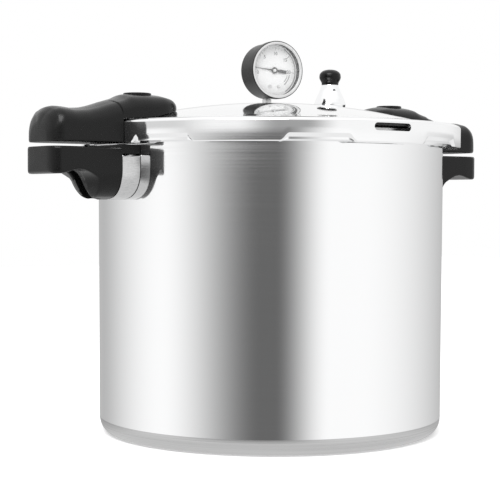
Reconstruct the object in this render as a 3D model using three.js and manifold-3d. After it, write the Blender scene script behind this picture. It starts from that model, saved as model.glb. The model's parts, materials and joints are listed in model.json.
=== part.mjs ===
// A large stove-top pressure canner: a deep spun-aluminium pot, a bayonet cover with a dial gauge, a
// weighted regulator on its vent pipe, a cover lock and an overpressure plug, two cover handles, two
// body handles on metal brackets, and a perforated rack inside.
// Millimetres, +Z up, origin at the centre of the base. +X runs along the handles.

import * as THREE from 'three';
import { mergeVertices } from 'three/addons/utils/BufferGeometryUtils.js';
import Module from 'manifold-3d';

const wasm = await Module();
wasm.setup();

// ---------------------------------------------------------------- driving dimensions

const TOUCH = 0.3; // gap kept between two pieces that touch or slide on each other
const RUNNING = 0.25; // radial clearance of a turning arbor in its hole

// Pot
const POT_RADIUS = 159; // outside, at mid height
const POT_LEAN = 0.6; // how far the wall leans out from mid height to the rim
const POT_WALL = 2.8;
const POT_FLOOR = 5;
const POT_HEIGHT = 276; // base to the sealing rim
const BASE_BAND = 14.5; // height of the rounded corner round the base
const BASE_INSET = 10.4; // how far that corner brings the flat base in
const FLOOR_FILLET = 8;
const RIM_FLANGE = 3.4; // thickness of the bead round the rim
const RIM_FLANGE_HEIGHT = 12;

// Bayonet: lugs on the pot's rim turn over lugs inside the cover's skirt
const LUG_COUNT = 8;
const POT_LUG_REACH = 8.5;
const POT_LUG_HEIGHT = 5;
const POT_LUG_ANGLE = 18;
const COVER_LUG_ANGLE = 24;
const COVER_LUG_HEIGHT = 2.5;
const LUG_SIDE_GAP = 1.3; // pot lug to skirt
const LUG_INNER_GAP = 0.7; // cover lug to rim bead
const LUG_FACE_GAP = 1; // between the lugs' meeting faces

// Cover
const COVER_WALL = 2.7;
const SKIRT_DEPTH = 20.1; // top corner to the bottom of the lugs
const SCALLOP_HEIGHT = 1.7; // how far the skirt's edge is raised between lugs
const SCALLOP_BEVEL = 4.8; // height of the sloping edge there
const LEDGE_WIDTH = 33.5; // from the skirt's outside in to the dome
const LEDGE_FALL = 3.25;
const DOME_RISE = 18.15;
const SKIRT_FILLET = 2.5;
const SEAL_THICKNESS = 2.5;
const WINDOW_ANGLE = 13;
const WINDOW_HEIGHT = 6.5;
const WINDOW_DROP = 6.7; // middle of the window below the skirt's top corner

// Handles
const HANDLE_REACH = 240; // pot axis to a handle's outer end
const HANDLE_HALF_WIDTH = 28;
const HANDLE_SPLIT = 3.8; // gap between a cover handle and the body handle under it
const GRIP_BOTTOM_DROP = 23; // body handle: top to the grip's underside
const HANDLE_DEPTH = 44.5; // body handle: top to its lowest point
const LEDGE_DROP = 5.5; // body handle: top to the underside of the ledge over its bracket
const LEDGE_RISE = 2.4; // the ledge's top, above the rest of the handle
const BRACKET_REACH = 15; // pot wall to the body handle's inner face
const BRACKET_WALL = 2.2;
const COVER_HANDLE_TIP = 110; // pot axis to the inner tip, over the dome
const COVER_HANDLE_RISE = 43.8; // cover handle: underside to its highest point
const CAP_RADIUS = 12.3;
const CAP_HEIGHT = 3.8;
const CAP_SINK = 2.4; // how much of that is let into the handle
const SCREW_SINK = 7; // the cap's floor to the screw head's seat
const CAP_PLACE = 144; // pot axis to the cover handle's screw
const SCREW_RADIUS = 2.5;
const SCREW_HEAD_RADIUS = 4.6;
const SCREW_HEAD_HEIGHT = 3.4;
const NUT_RADIUS = 4.8;
const NUT_HEIGHT = 3.6;
const RIVET_RADIUS = 2;
const RIVET_HEAD_RADIUS = 4.4;
const STUD_RADIUS = 5; // boss that the body handle's screw turns into
const RIVET_ANGLE = 5; // degrees each side of the bracket's middle
const RIVET_DROP = 14; // below the body handle's top
const HANDLE_SCREW_DROP = 27.5; // body handle's screw, below its top
const HANDLE_SCREW_SEAT = 8; // body handle's inner face to the screw head's seat in the groove
const GROOVE_WIDTH = 12; // slot down the middle of the body handle's underside

// Rack
const RACK_CLEARANCE = 1; // inside the flat part of the pot's floor
const RACK_SHEET = 1.5;
const RACK_HEIGHT = 10;
const RACK_HOLE_RADIUS = 6;

// Weighted regulator and its vent pipe
const REGULATOR_PLACE = 70;
const REGULATOR_LIFT = 3.6; // under the regulator, over the dome
const REGULATOR_SKIRT_RADIUS = 15;
const REGULATOR_NECK_RADIUS = 8;
const REGULATOR_BODY_HEIGHT = 21.5;
const KNOB_RADIUS = 10.3;
const KNOB_HEIGHT = 15;
const PIPE_RADIUS = 3.5;
const PIPE_BORE = 1.5;
const PIPE_TIP_DEPTH = 11; // how far the pipe reaches up into the regulator
const PIPE_HEX_RADIUS = 6.3;

// Cover lock and overpressure plug, towards the back of the cover
const LOCK_PLACE = [-62, 122];
const LOCK_PIN_RADIUS = 2.3;
const LOCK_TRAVEL = 3;
const LOCK_NECK_RADIUS = 4.9;
const PLUG_PLACE = [40, 110];
const PLUG_NECK_RADIUS = 4.7;

// Dial gauge. "Out" distances run from the stem's axis towards the reader.
const GAUGE_PLACE = -4.5;
const GAUGE_TURN = -6.5; // degrees, about the vertical
const GAUGE_LIFT = 4.5; // dome to the underside of the case
const CASE_RADIUS = 25.4;
const CASE_WALL = 1.2;
const CASE_BACK = -4.8;
const CASE_FRONT = 18.2;
const BEZEL_WALL = 0.8;
const BEZEL_LIP = 2.6;
const CRYSTAL_THICKNESS = 1;
const DIAL_OUT = 12.6;
const DIAL_THICKNESS = 0.8;
const DIAL_SCREW_RADIUS = 0.7;
const DIAL_SCREW_APART = 9;
const DIAL_SCREW_DROP = 14.8; // below the dial's centre
const STEM_SQUARE = 6.5;
const STEM_RADIUS = 3;
const GAUGE_MODULE = 0.5;
const PINION_TEETH = 10;
const SECTOR_TEETH = 50; // of the whole circle that the sector is part of
const SECTOR_SWEEP = 41; // degrees
const PLATE_THICKNESS = 0.8;
const PLATE_RADIUS = 16;
const PLATE_RISE = -6; // the plates' centre, from the dial's
const POST_PLACE = 13; // the plates' posts, each side of the middle
const BACK_PLATE_OUT = 4.2;
const FRONT_PLATE_OUT = 9.6;
const GEAR_OUT = 7.2;
const GEAR_THICKNESS = 1.2;
const BOURDON_RADIUS = 20;
const POINTER_REST = 174; // degrees, counterclockwise from three o'clock

const ROUND = 48; // facets round the pot and cover
const ROUND_CASE = 28; // gauge case and its discs
const ROUND_KNOB = 18; // regulator and handle caps
const ROUND_SMALL = 12;
const COVER_STEPS = 6; // rings from the cover's middle to the edge of its dome

// ---------------------------------------------------------------- worked out from them

const rad = THREE.MathUtils.degToRad;
const potRimRadius = POT_RADIUS + POT_LEAN;
const potBaseRadius = POT_RADIUS - POT_LEAN;
const flangeRadius = potRimRadius + RIM_FLANGE;
const potLugRadius = flangeRadius + POT_LUG_REACH;
const skirtInside = potLugRadius + LUG_SIDE_GAP;
const skirtOutside = skirtInside + COVER_WALL;
const domeRadius = skirtOutside - LEDGE_WIDTH;
const sealBottom = POT_HEIGHT + TOUCH;
const sealTop = sealBottom + SEAL_THICKNESS;
const skirtTop = sealTop + TOUCH + COVER_WALL - 0.2;
const skirtBottom = skirtTop - SKIRT_DEPTH;
const coverLugTop = skirtBottom + COVER_LUG_HEIGHT;
const potLugBottom = coverLugTop + LUG_FACE_GAP;
const apex = skirtTop + LEDGE_FALL + DOME_RISE;
const handleSplitTop = skirtBottom + TOUCH; // underside of the cover handles
const bodyHandleTop = handleSplitTop - HANDLE_SPLIT;
const bracketOutside = potRimRadius + BRACKET_REACH;
const facetSag = POT_RADIUS * (1 - Math.cos(Math.PI / ROUND)); // a flat facet's depth inside the true round
const screwHeight = bodyHandleTop - HANDLE_SCREW_DROP;
const rivetPlaces = [-1, 1].flatMap((side) =>
  [-RIVET_ANGLE, RIVET_ANGLE].map((angle) => [side, angle, bodyHandleTop - RIVET_DROP]),
);
const gearDistance = (GAUGE_MODULE * (PINION_TEETH + SECTOR_TEETH)) / 2;

/** Height of the cover's outside at a distance from the axis. */
function coverHeight(r) {
  if (r < domeRadius) return apex - DOME_RISE * (r / domeRadius) ** 2;
  return skirtTop + (LEDGE_FALL * (skirtOutside - r)) / LEDGE_WIDTH;
}

/** Outside radius of the pot's wall at a height. */
function potRadiusAt(z) {
  return POT_RADIUS + (POT_LEAN * (z - POT_HEIGHT / 2)) / (POT_HEIGHT / 2);
}

const gaugeBase = coverHeight(Math.abs(GAUGE_PLACE));
const gaugeCentre = gaugeBase + GAUGE_LIFT + CASE_RADIUS;

// ---------------------------------------------------------------- materials

function material(color, roughness, metalness) {
  return new THREE.MeshStandardMaterial({ color, roughness, metalness });
}

const polished = material(0xd9dadb, 0.12, 1);
const satinAluminium = material(0xc4c5c7, 0.4, 1);
const chrome = material(0xe4e5e6, 0.06, 1);
const steel = material(0xa9abad, 0.3, 1);
const brass = material(0xb8924a, 0.3, 1);
const phenolic = material(0x1d1d1e, 0.38, 0);
const caseBlack = material(0x2a2b2c, 0.45, 0.2);
const rubber = material(0x232322, 0.75, 0);
const dialWhite = material(0xf2f2f0, 0.5, 0);
const pointerBlack = material(0x161616, 0.5, 0);
const clear = material(0xeef4f6, 0.03, 0);
clear.transparent = true;
clear.opacity = 0.3;

// ---------------------------------------------------------------- geometry helpers

/** Closed geometry with shared vertices, no slivers and its faces pointing out. */
function closed(geometry) {
  geometry.deleteAttribute('normal');
  geometry.deleteAttribute('uv');
  const merged = mergeVertices(geometry, 1e-4);
  const p = merged.attributes.position;
  const index = merged.index.array;
  const kept = [];
  const [a, b, c] = [new THREE.Vector3(), new THREE.Vector3(), new THREE.Vector3()];
  let volume = 0;
  for (let i = 0; i < index.length; i += 3) {
    const [i0, i1, i2] = [index[i], index[i + 1], index[i + 2]];
    if (i0 === i1 || i1 === i2 || i2 === i0) continue;
    kept.push(i0, i1, i2);
    a.fromBufferAttribute(p, i0);
    b.fromBufferAttribute(p, i1);
    c.fromBufferAttribute(p, i2);
    volume += a.dot(b.cross(c));
  }
  if (volume < 0) kept.reverse();
  merged.setIndex(kept);
  return merged;
}

function toSolid(geometry) {
  const g = closed(geometry);
  return new wasm.Manifold(
    new wasm.Mesh({
      numProp: 3,
      vertProperties: new Float32Array(g.attributes.position.array),
      triVerts: new Uint32Array(g.index.array),
    }),
  );
}

function fromSolid(solid) {
  const mesh = solid.getMesh();
  const g = new THREE.BufferGeometry();
  g.setAttribute('position', new THREE.BufferAttribute(mesh.vertProperties, 3));
  g.setIndex(new THREE.BufferAttribute(mesh.triVerts, 1));
  return g;
}

/** Joins and cuts whole geometries: the first one, plus some, minus others. */
function combine(base, { add = [], cut = [], keep = [] } = {}) {
  let solid = toSolid(base);
  for (const g of add) solid = solid.add(toSolid(g));
  for (const g of keep) solid = solid.intersect(toSolid(g));
  for (const g of cut) solid = solid.subtract(toSolid(g));
  return fromSolid(solid);
}

/** A profile of [radius, height] points turned about +Z. */
function turned(points, facets = ROUND_SMALL) {
  const profile = points.map(([r, z]) => new THREE.Vector2(r, z));
  const first = profile[0];
  const last = profile[profile.length - 1];
  if (first.x > 0 || last.x > 0) profile.push(first.clone());
  const g = new THREE.LatheGeometry(profile, facets);
  g.rotateX(Math.PI / 2);
  return closed(g);
}

/** A round bar about +Z from one height to another. */
function bar(radius, bottom, top, facets = ROUND_SMALL) {
  const g = new THREE.CylinderGeometry(radius, radius, top - bottom, facets);
  g.rotateX(Math.PI / 2);
  g.translate(0, 0, (top + bottom) / 2);
  return g;
}

function box(x0, x1, y0, y1, z0, z1) {
  const g = new THREE.BoxGeometry(x1 - x0, y1 - y0, z1 - z0);
  g.translate((x0 + x1) / 2, (y0 + y1) / 2, (z0 + z1) / 2);
  return g;
}

/** A flat outline raised along +Z from one height to another. */
function raised(shape, bottom, top, curveSegments = 6) {
  const depth = top - bottom;
  const g = new THREE.ExtrudeGeometry(shape, { depth, bevelEnabled: false, curveSegments });
  g.translate(0, 0, bottom);
  return g;
}

/** Part of a ring, centred on an angle in degrees from +X. */
function ringPart(inner, outer, centre, angle, bottom, top) {
  const from = rad(centre - angle / 2);
  const to = rad(centre + angle / 2);
  const shape = new THREE.Shape();
  shape.absarc(0, 0, outer, from, to, false);
  shape.absarc(0, 0, inner, to, from, true);
  return raised(shape, bottom, top, 3);
}

/** Arc points, for turned profiles: centre, radii and angles in degrees. */
function arc(cx, cz, rx, rz, from, to, steps) {
  return Array.from({ length: steps + 1 }, (_, i) => {
    const a = rad(from + ((to - from) * i) / steps);
    return [cx + rx * Math.cos(a), cz + rz * Math.sin(a)];
  });
}

/** Skin over equal rings of points, closed by a fan at each end. */
function lofted(rings) {
  const count = rings[0].length;
  const points = rings.flat();
  const ends = [rings[0], rings[rings.length - 1]].map((ring) =>
    ring.reduce((sum, q) => sum.add(q), new THREE.Vector3()).divideScalar(count),
  );
  const index = [];
  for (let i = 0; i + 1 < rings.length; i += 1) {
    for (let j = 0; j < count; j += 1) {
      const k = (j + 1) % count;
      const [a, b, c, d] = [i * count + j, i * count + k, (i + 1) * count + k, (i + 1) * count + j];
      index.push(a, b, c, a, c, d);
    }
  }
  const first = points.length;
  points.push(...ends);
  for (let j = 0; j < count; j += 1) {
    const k = (j + 1) % count;
    const base = (rings.length - 1) * count;
    index.push(first, k, j, first + 1, base + j, base + k);
  }
  const g = new THREE.BufferGeometry().setFromPoints(points);
  g.setIndex(index);
  return closed(g);
}

/** The value at x on straight lines through [x, value] pairs. */
function follow(pairs, x) {
  if (x <= pairs[0][0]) return pairs[0][1];
  for (let i = 0; i + 1 < pairs.length; i += 1) {
    const [x0, v0] = pairs[i];
    const [x1, v1] = pairs[i + 1];
    if (x <= x1) return v0 + ((v1 - v0) * (x - x0)) / (x1 - x0);
  }
  return pairs[pairs.length - 1][1];
}

/** The frame of a fitting that stands square on the dome: its local +Z is the dome's normal. */
function onDome([x, y]) {
  const r = Math.hypot(x, y);
  const slope = (-2 * DOME_RISE * r) / domeRadius ** 2;
  const group = new THREE.Group();
  group.position.set(x, y, coverHeight(r));
  const normal = new THREE.Vector3((-slope * x) / r, (-slope * y) / r, 1).normalize();
  group.quaternion.setFromUnitVectors(new THREE.Vector3(0, 0, 1), normal);
  group.updateMatrix();
  return group;
}

const object = new THREE.Group();

function addPiece(parent, name, geometry, look) {
  const mesh = new THREE.Mesh(geometry, look);
  mesh.name = name;
  parent.add(mesh);
  return mesh;
}

// ---------------------------------------------------------------- pot

function potBody() {
  const flangeBottom = POT_HEIGHT - RIM_FLANGE_HEIGHT;
  const inside = (z) => potRadiusAt(z) - POT_WALL;
  const flatRadius = potBaseRadius - BASE_INSET;
  const floorEdge = inside(POT_FLOOR) - FLOOR_FILLET;
  const profile = [
    [0, 0],
    ...arc(flatRadius, BASE_BAND, BASE_INSET, BASE_BAND, -90, 0, 4),
    [potRadiusAt(flangeBottom), flangeBottom - RIM_FLANGE / 2],
    [flangeRadius, flangeBottom],
    [flangeRadius, POT_HEIGHT - 1],
    [flangeRadius - 1, POT_HEIGHT],
    [inside(POT_HEIGHT), POT_HEIGHT],
    ...arc(floorEdge, POT_FLOOR + FLOOR_FILLET, FLOOR_FILLET, FLOOR_FILLET, 0, -90, 3),
    [0, POT_FLOOR],
  ];
  const lugs = Array.from({ length: LUG_COUNT }, (_, i) =>
    ringPart(
      flangeRadius - RIM_FLANGE / 2,
      potLugRadius,
      (360 * i) / LUG_COUNT,
      POT_LUG_ANGLE,
      potLugBottom,
      potLugBottom + POT_LUG_HEIGHT,
    ),
  );
  const holes = rivetPlaces.map((place) => radial(bar(RIVET_RADIUS + TOUCH, -10, 10), place));
  return combine(turned(profile, ROUND), { add: lugs, cut: holes });
}

/** Turns geometry built along +Z to run out along +X or -X. Its zero is the pot's wall at that height. */
function sideways(geometry, side, z) {
  geometry.rotateY((side * Math.PI) / 2);
  geometry.translate(side * potRadiusAt(z), 0, z);
  return geometry;
}

/** The same, swung round the pot's axis by an angle in degrees. */
function radial(geometry, [side, angle, z]) {
  return sideways(geometry, side, z).rotateZ(rad(angle));
}

addPiece(object, 'pot_body', potBody(), polished);

function rack() {
  const radius = potRadiusAt(POT_FLOOR) - POT_WALL - FLOOR_FILLET - RACK_CLEARANCE;
  const bottom = POT_FLOOR + TOUCH;
  const top = bottom + RACK_HEIGHT;
  const profile = [
    [0, top],
    [radius - 1, top],
    [radius, top - 1],
    [radius, bottom],
    [radius - RACK_SHEET, bottom],
    [radius - RACK_SHEET, top - RACK_SHEET],
    [0, top - RACK_SHEET],
  ];
  const holes = [bar(RACK_HOLE_RADIUS, bottom, top + 1, 8)];
  for (const [count, share] of [[6, 0.34], [12, 0.7]]) {
    for (let i = 0; i < count; i += 1) {
      const a = (2 * Math.PI * i) / count;
      const hole = bar(RACK_HOLE_RADIUS, bottom, top + 1, 8);
      hole.translate(share * radius * Math.cos(a), share * radius * Math.sin(a), 0);
      holes.push(hole);
    }
  }
  return combine(turned(profile, ROUND_CASE), { cut: holes });
}

addPiece(object, 'canning_rack', rack(), satinAluminium);

// ---------------------------------------------------------------- body handles and brackets

/** Cross-section of a handle at x: straight sides, with rounded corners below and above. */
function handleSection(x, halfWidth, bottom, top, bottomRadius, topRadius, crown = 0) {
  const rb = Math.min(bottomRadius, halfWidth - 0.5, (top - bottom) * 0.7);
  const rt = Math.min(topRadius, halfWidth - 0.5, top - crown - bottom - rb - 0.2);
  const half = [
    ...arc(halfWidth - rb, bottom + rb, rb, rb, -90, 0, 4),
    ...arc(halfWidth - rt, top - crown - rt, rt, rt, 0, 90, 4),
  ];
  const ring = half.map(([y, z]) => new THREE.Vector3(x, y, z));
  ring.push(new THREE.Vector3(x, 0, top));
  for (const [y, z] of half.reverse()) ring.push(new THREE.Vector3(x, -y, z));
  return ring;
}

/** Everything inside a radius, to cut a piece to the pot's or cover's round side. */
function roundSide(radius, bottom, top) {
  return bar(radius, bottom, top, ROUND);
}

function bodyHandle(side) {
  const inner = bracketOutside + TOUCH;
  const low = HANDLE_DEPTH;
  const grip = GRIP_BOTTOM_DROP;
  // [distance beyond the inner face, depth below the top, half width, bottom corner radius]
  const stations = [
    [0, low, 0, 26.5],
    [11, low, 0, 26.5],
    [16, low - 1.5, 0, 25],
    [20, low - 5, 0, 23],
    [24, low - 11, 0, 19],
    [28, low - 17, 0, 14],
    [33, grip - 2.5, 0, 8],
    [45, grip - 2.5, 0, 8],
    [56, grip, 0.5, 8],
    [61.5, grip, 3, 8],
    [64.5, grip - 1, 7.5, 8],
    [HANDLE_REACH - inner, grip - 4, 13, 6],
  ];
  const rings = stations.map(([x, depth, narrower, corner]) =>
    handleSection(
      side * (inner + x),
      HANDLE_HALF_WIDTH - narrower,
      bodyHandleTop - depth,
      bodyHandleTop,
      corner,
      3,
    ),
  );
  const floor = bodyHandleTop - HANDLE_DEPTH - 1;
  const seat = inner + HANDLE_SCREW_SEAT;
  const groove = box(
    Math.min(side * seat, side * (inner + 45)),
    Math.max(side * seat, side * (inner + 45)),
    -GROOVE_WIDTH / 2,
    GROOVE_WIDTH / 2,
    floor,
    bodyHandleTop - grip + 4,
  );
  const hole = sideways(bar(SCREW_RADIUS + TOUCH, 0, 40), side, screwHeight);
  const ledge = box(
    Math.min(side * (potRimRadius - 12), side * (inner + 1)),
    Math.max(side * (potRimRadius - 12), side * (inner + 1)),
    -HANDLE_HALF_WIDTH,
    HANDLE_HALF_WIDTH,
    bodyHandleTop - LEDGE_DROP,
    bodyHandleTop + LEDGE_RISE,
  );
  const pot = roundSide(potRimRadius + TOUCH, 0, POT_HEIGHT);
  return combine(lofted(rings), { add: [ledge], cut: [groove, hole, pot] });
}

/** The U-shaped outline of a bracket, facing along X: flat top and round bottom. */
function bracketOutline(offset) {
  const half = HANDLE_HALF_WIDTH - offset;
  const top = bodyHandleTop - LEDGE_DROP - TOUCH - offset;
  const bottom = bodyHandleTop - HANDLE_DEPTH + offset;
  const round = half - 1.5;
  const shape = new THREE.Shape();
  shape.moveTo(half, top);
  shape.lineTo(-half, top);
  shape.lineTo(-half, bottom + round);
  shape.quadraticCurveTo(-half, bottom, 0, bottom);
  shape.quadraticCurveTo(half, bottom, half, bottom + round);
  shape.closePath();
  return shape;
}

/** A shape drawn in YZ, raised along X between two distances from the pot's axis. */
function alongX(shape, side, from, to) {
  const g = raised(shape, from, to, 8);
  g.rotateX(Math.PI / 2);
  g.rotateZ((side * Math.PI) / 2);
  return g;
}

function bracket(side) {
  const cup = alongX(bracketOutline(0), side, potRimRadius - 12, bracketOutside);
  const backPlate = potRimRadius + TOUCH + BRACKET_WALL;
  const hollow = alongX(bracketOutline(BRACKET_WALL), side, backPlate - 16, bracketOutside + 1);
  const behind = roundSide(backPlate, 0, POT_HEIGHT);
  const room = combine(hollow, { cut: [behind] });
  const pot = roundSide(potRimRadius + TOUCH, 0, POT_HEIGHT);
  const holes = rivetPlaces.map((place) => radial(bar(RIVET_RADIUS + TOUCH, -4, 12), place));
  return combine(cup, { cut: [room, pot, ...holes] });
}

/** Distance out from the pot's wall, at a height on the bracket, to the outside of its back plate. */
const backPlateOut = BRACKET_WALL + 2 * TOUCH + POT_LEAN;

function rivet(place) {
  const inside = -POT_WALL - TOUCH - facetSag;
  const profile = [
    [0, inside - 2],
    [3, inside - 1.6],
    [4, inside],
    [RIVET_RADIUS, inside],
    [RIVET_RADIUS, backPlateOut],
    [RIVET_HEAD_RADIUS, backPlateOut],
    [RIVET_HEAD_RADIUS - 1, backPlateOut + 1.8],
    [0, backPlateOut + 2.3],
  ];
  return radial(turned(profile), place);
}

function handleStud(side) {
  const hole = SCREW_RADIUS + TOUCH;
  const end = BRACKET_REACH - TOUCH;
  const profile = [
    [0, backPlateOut],
    [STUD_RADIUS, backPlateOut],
    [STUD_RADIUS, end],
    [hole, end],
    [hole, backPlateOut + 2],
    [0, backPlateOut + 2],
  ];
  return sideways(turned(profile), side, screwHeight);
}

function handleScrew(side) {
  const seat = BRACKET_REACH + POT_LEAN + HANDLE_SCREW_SEAT + 2 * TOUCH;
  const end = backPlateOut + 3;
  const profile = [
    [0, end],
    [SCREW_RADIUS, end],
    [SCREW_RADIUS, seat],
    [SCREW_HEAD_RADIUS, seat],
    [SCREW_HEAD_RADIUS, seat + SCREW_HEAD_HEIGHT - 2],
    [SCREW_HEAD_RADIUS - 1.6, seat + SCREW_HEAD_HEIGHT],
    [0, seat + SCREW_HEAD_HEIGHT],
  ];
  return sideways(turned(profile), side, screwHeight);
}

for (const [side, name] of [[-1, 'left'], [1, 'right']]) {
  addPiece(object, `handle_bracket_${name}`, bracket(side), polished);
  addPiece(object, `body_handle_${name}`, bodyHandle(side), phenolic);
  addPiece(object, `body_handle_stud_${name}`, handleStud(side), steel);
  addPiece(object, `body_handle_screw_${name}`, handleScrew(side), steel);
  const places = rivetPlaces.filter((place) => place[0] === side);
  places.forEach((place, i) => {
    addPiece(object, `bracket_rivet_${name}_${i + 1}`, rivet(place), satinAluminium);
  });
}

/** Bent tab inside the pot's rim, beside which the cover lock's pin drops when the cover is shut. */
function lockingBracket() {
  const angle = (Math.atan2(LOCK_PLACE[1], LOCK_PLACE[0]) * 180) / Math.PI;
  const wall = potRadiusAt(POT_HEIGHT) - POT_WALL - POT_LEAN / 4 - 3 * TOUCH;
  const top = POT_HEIGHT - 5;
  const upright = ringPart(wall - 1.5, wall, angle, 9, top - 22, top);
  const shelf = ringPart(wall - 12, wall - 0.5, angle, 7, top - 1.5, top);
  return combine(upright, { add: [shelf] });
}

addPiece(object, 'locking_bracket', lockingBracket(), steel);

// ---------------------------------------------------------------- cover

/** The cover's outside from the axis to the skirt's top corner, raised by an offset. */
function coverTopPoints(offset, steps) {
  const points = [];
  for (let i = 0; i <= steps; i += 1) {
    const r = (domeRadius * i) / steps;
    points.push([r, coverHeight(r) + offset]);
  }
  return points;
}

function coverShell() {
  const f = SKIRT_FILLET;
  const cornerZ = coverHeight(skirtOutside - f);
  const underLedge = (r) => coverHeight(r) - COVER_WALL;
  const inner = coverTopPoints(-COVER_WALL, COVER_STEPS);
  const profile = [
    ...coverTopPoints(0, COVER_STEPS),
    ...arc(skirtOutside - f, cornerZ - f, f, f, 90, 0, 2),
    [skirtOutside, skirtBottom],
    [skirtInside, skirtBottom],
    [skirtInside, underLedge(skirtInside)],
    ...inner.reverse(),
  ];
  return turned(profile, ROUND);
}

const lugAngles = Array.from({ length: LUG_COUNT }, (_, i) => (360 * i) / LUG_COUNT);

/** What is cut from the skirt's edge between two lugs: a shallow step with a sloping outside. */
function scallop(angle) {
  const edge = skirtBottom + SCALLOP_HEIGHT;
  const ring = turned(
    [
      [domeRadius, skirtBottom - 1],
      [domeRadius, edge],
      [skirtInside + TOUCH, edge],
      [skirtOutside, edge + SCALLOP_BEVEL],
      [skirtOutside + 2, edge + SCALLOP_BEVEL],
      [skirtOutside + 2, skirtBottom - 1],
    ],
    ROUND,
  );
  const width = 360 / LUG_COUNT - COVER_LUG_ANGLE;
  const span = ringPart(domeRadius - 2, skirtOutside + 5, angle, width, skirtBottom - 2, skirtTop);
  return combine(ring, { keep: [span] });
}

function coverCuts() {
  const scallops = lugAngles.map((a) => scallop(a + 180 / LUG_COUNT));
  const windowMiddle = skirtTop - WINDOW_DROP;
  const window = ringPart(
    skirtInside - 2,
    skirtOutside + 2,
    -90,
    WINDOW_ANGLE,
    windowMiddle - WINDOW_HEIGHT / 2,
    windowMiddle + WINDOW_HEIGHT / 2,
  );
  const holes = [
    upright(bar(STEM_RADIUS + TOUCH, -20, 20), GAUGE_PLACE, 0, apex),
    upright(bar(PIPE_RADIUS + TOUCH, -20, 20), REGULATOR_PLACE, 0, coverHeight(REGULATOR_PLACE)),
    onDomeGeometry(bar(LOCK_NECK_RADIUS + TOUCH, -20, 20), LOCK_PLACE),
    onDomeGeometry(bar(PLUG_NECK_RADIUS + TOUCH, -20, 20), PLUG_PLACE),
  ];
  for (const side of [-1, 1]) {
    const hole = bar(SCREW_RADIUS + TOUCH, -20, 20);
    holes.push(upright(hole, side * CAP_PLACE, 0, coverHeight(CAP_PLACE)));
  }
  return [...scallops, window, ...holes];
}

function upright(geometry, x, y, z) {
  geometry.translate(x, y, z);
  return geometry;
}

function onDomeGeometry(geometry, place) {
  geometry.applyMatrix4(onDome(place).matrix);
  return geometry;
}

function cover() {
  const lugs = lugAngles.map((a) =>
    ringPart(
      flangeRadius + LUG_INNER_GAP,
      skirtInside + COVER_WALL / 2,
      a,
      COVER_LUG_ANGLE,
      skirtBottom,
      coverLugTop,
    ),
  );
  return combine(coverShell(), { add: lugs, cut: coverCuts() });
}

const coverGroup = new THREE.Group();
object.add(coverGroup);
addPiece(coverGroup, 'cover', cover(), polished);

function sealingRing() {
  const outer = skirtInside - 2;
  const inner = potRimRadius - POT_WALL - 2.5;
  const bead = coverHeight(inner) - COVER_WALL - TOUCH;
  return turned(
    [
      [inner, sealBottom - 1.6],
      [inner + 1.6, sealBottom],
      [outer, sealBottom],
      [outer, sealTop - 0.2],
      [outer - 1.5, sealTop],
      [inner + 5, sealTop],
      [inner + 3, bead],
      [inner, bead - 0.6],
    ],
    ROUND,
  );
}

addPiece(coverGroup, 'sealing_ring', sealingRing(), rubber);

// ---------------------------------------------------------------- cover handles

/** Height of a cover handle's back above its underside, by distance from the pot's axis. */
const backLine = [
  [COVER_HANDLE_TIP, 0.71],
  [COVER_HANDLE_TIP + 1.5, 0.8],
  [COVER_HANDLE_TIP + 4, 0.88],
  [COVER_HANDLE_TIP + 10, 0.95],
  [COVER_HANDLE_TIP + 20, 0.99],
  [COVER_HANDLE_TIP + 36, 1],
  [COVER_HANDLE_TIP + 50, 0.98],
  [HANDLE_REACH - 72, 0.905],
  [HANDLE_REACH - 58, 0.812],
  [HANDLE_REACH - 46, 0.728],
  [HANDLE_REACH - 36, 0.683],
  [HANDLE_REACH - 27, 0.672],
  [HANDLE_REACH - 19, 0.69],
  [HANDLE_REACH - 13, 0.697],
  [HANDLE_REACH - 7, 0.665],
  [HANDLE_REACH - 3, 0.58],
  [HANDLE_REACH - 1, 0.48],
  [HANDLE_REACH, 0.38],
];

/** Half width of a cover handle, as a share of its greatest, by the same distance. */
const sideLine = [
  [COVER_HANDLE_TIP, 0.22],
  [COVER_HANDLE_TIP + 1.5, 0.43],
  [COVER_HANDLE_TIP + 4, 0.6],
  [COVER_HANDLE_TIP + 10, 0.79],
  [COVER_HANDLE_TIP + 20, 0.94],
  [COVER_HANDLE_TIP + 36, 1],
  [HANDLE_REACH - 13, 1],
  [HANDLE_REACH - 7, 0.94],
  [HANDLE_REACH - 3, 0.82],
  [HANDLE_REACH - 1, 0.68],
  [HANDLE_REACH, 0.5],
];

/** Everything at and below the cover's outside, with a touching gap. */
function coverEnvelope() {
  const radius = skirtOutside + TOUCH;
  return turned(
    [
      ...coverTopPoints(TOUCH, COVER_STEPS),
      [radius, coverHeight(skirtOutside) + TOUCH],
      [radius, skirtBottom - HANDLE_DEPTH],
      [0, skirtBottom - HANDLE_DEPTH],
    ],
    ROUND,
  );
}

const capFloor = () => handleSplitTop + COVER_HANDLE_RISE * follow(backLine, CAP_PLACE) - CAP_SINK;

function coverHandle(side) {
  const rings = backLine.map(([x, share]) => {
    const rise = COVER_HANDLE_RISE * share;
    const width = HANDLE_HALF_WIDTH * follow(sideLine, x);
    return handleSection(side * x, width, handleSplitTop, handleSplitTop + rise, 2.5, 14, 1.2);
  });
  const floor = capFloor();
  const cuts = [
    coverEnvelope(),
    upright(bar(CAP_RADIUS + TOUCH, 0, 20, ROUND_KNOB), side * CAP_PLACE, 0, floor - TOUCH),
    upright(bar(SCREW_HEAD_RADIUS + TOUCH, -SCREW_SINK, 1), side * CAP_PLACE, 0, floor),
    upright(bar(SCREW_RADIUS + TOUCH, -40, 1), side * CAP_PLACE, 0, floor),
  ];
  return combine(lofted(rings), { cut: cuts });
}

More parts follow.
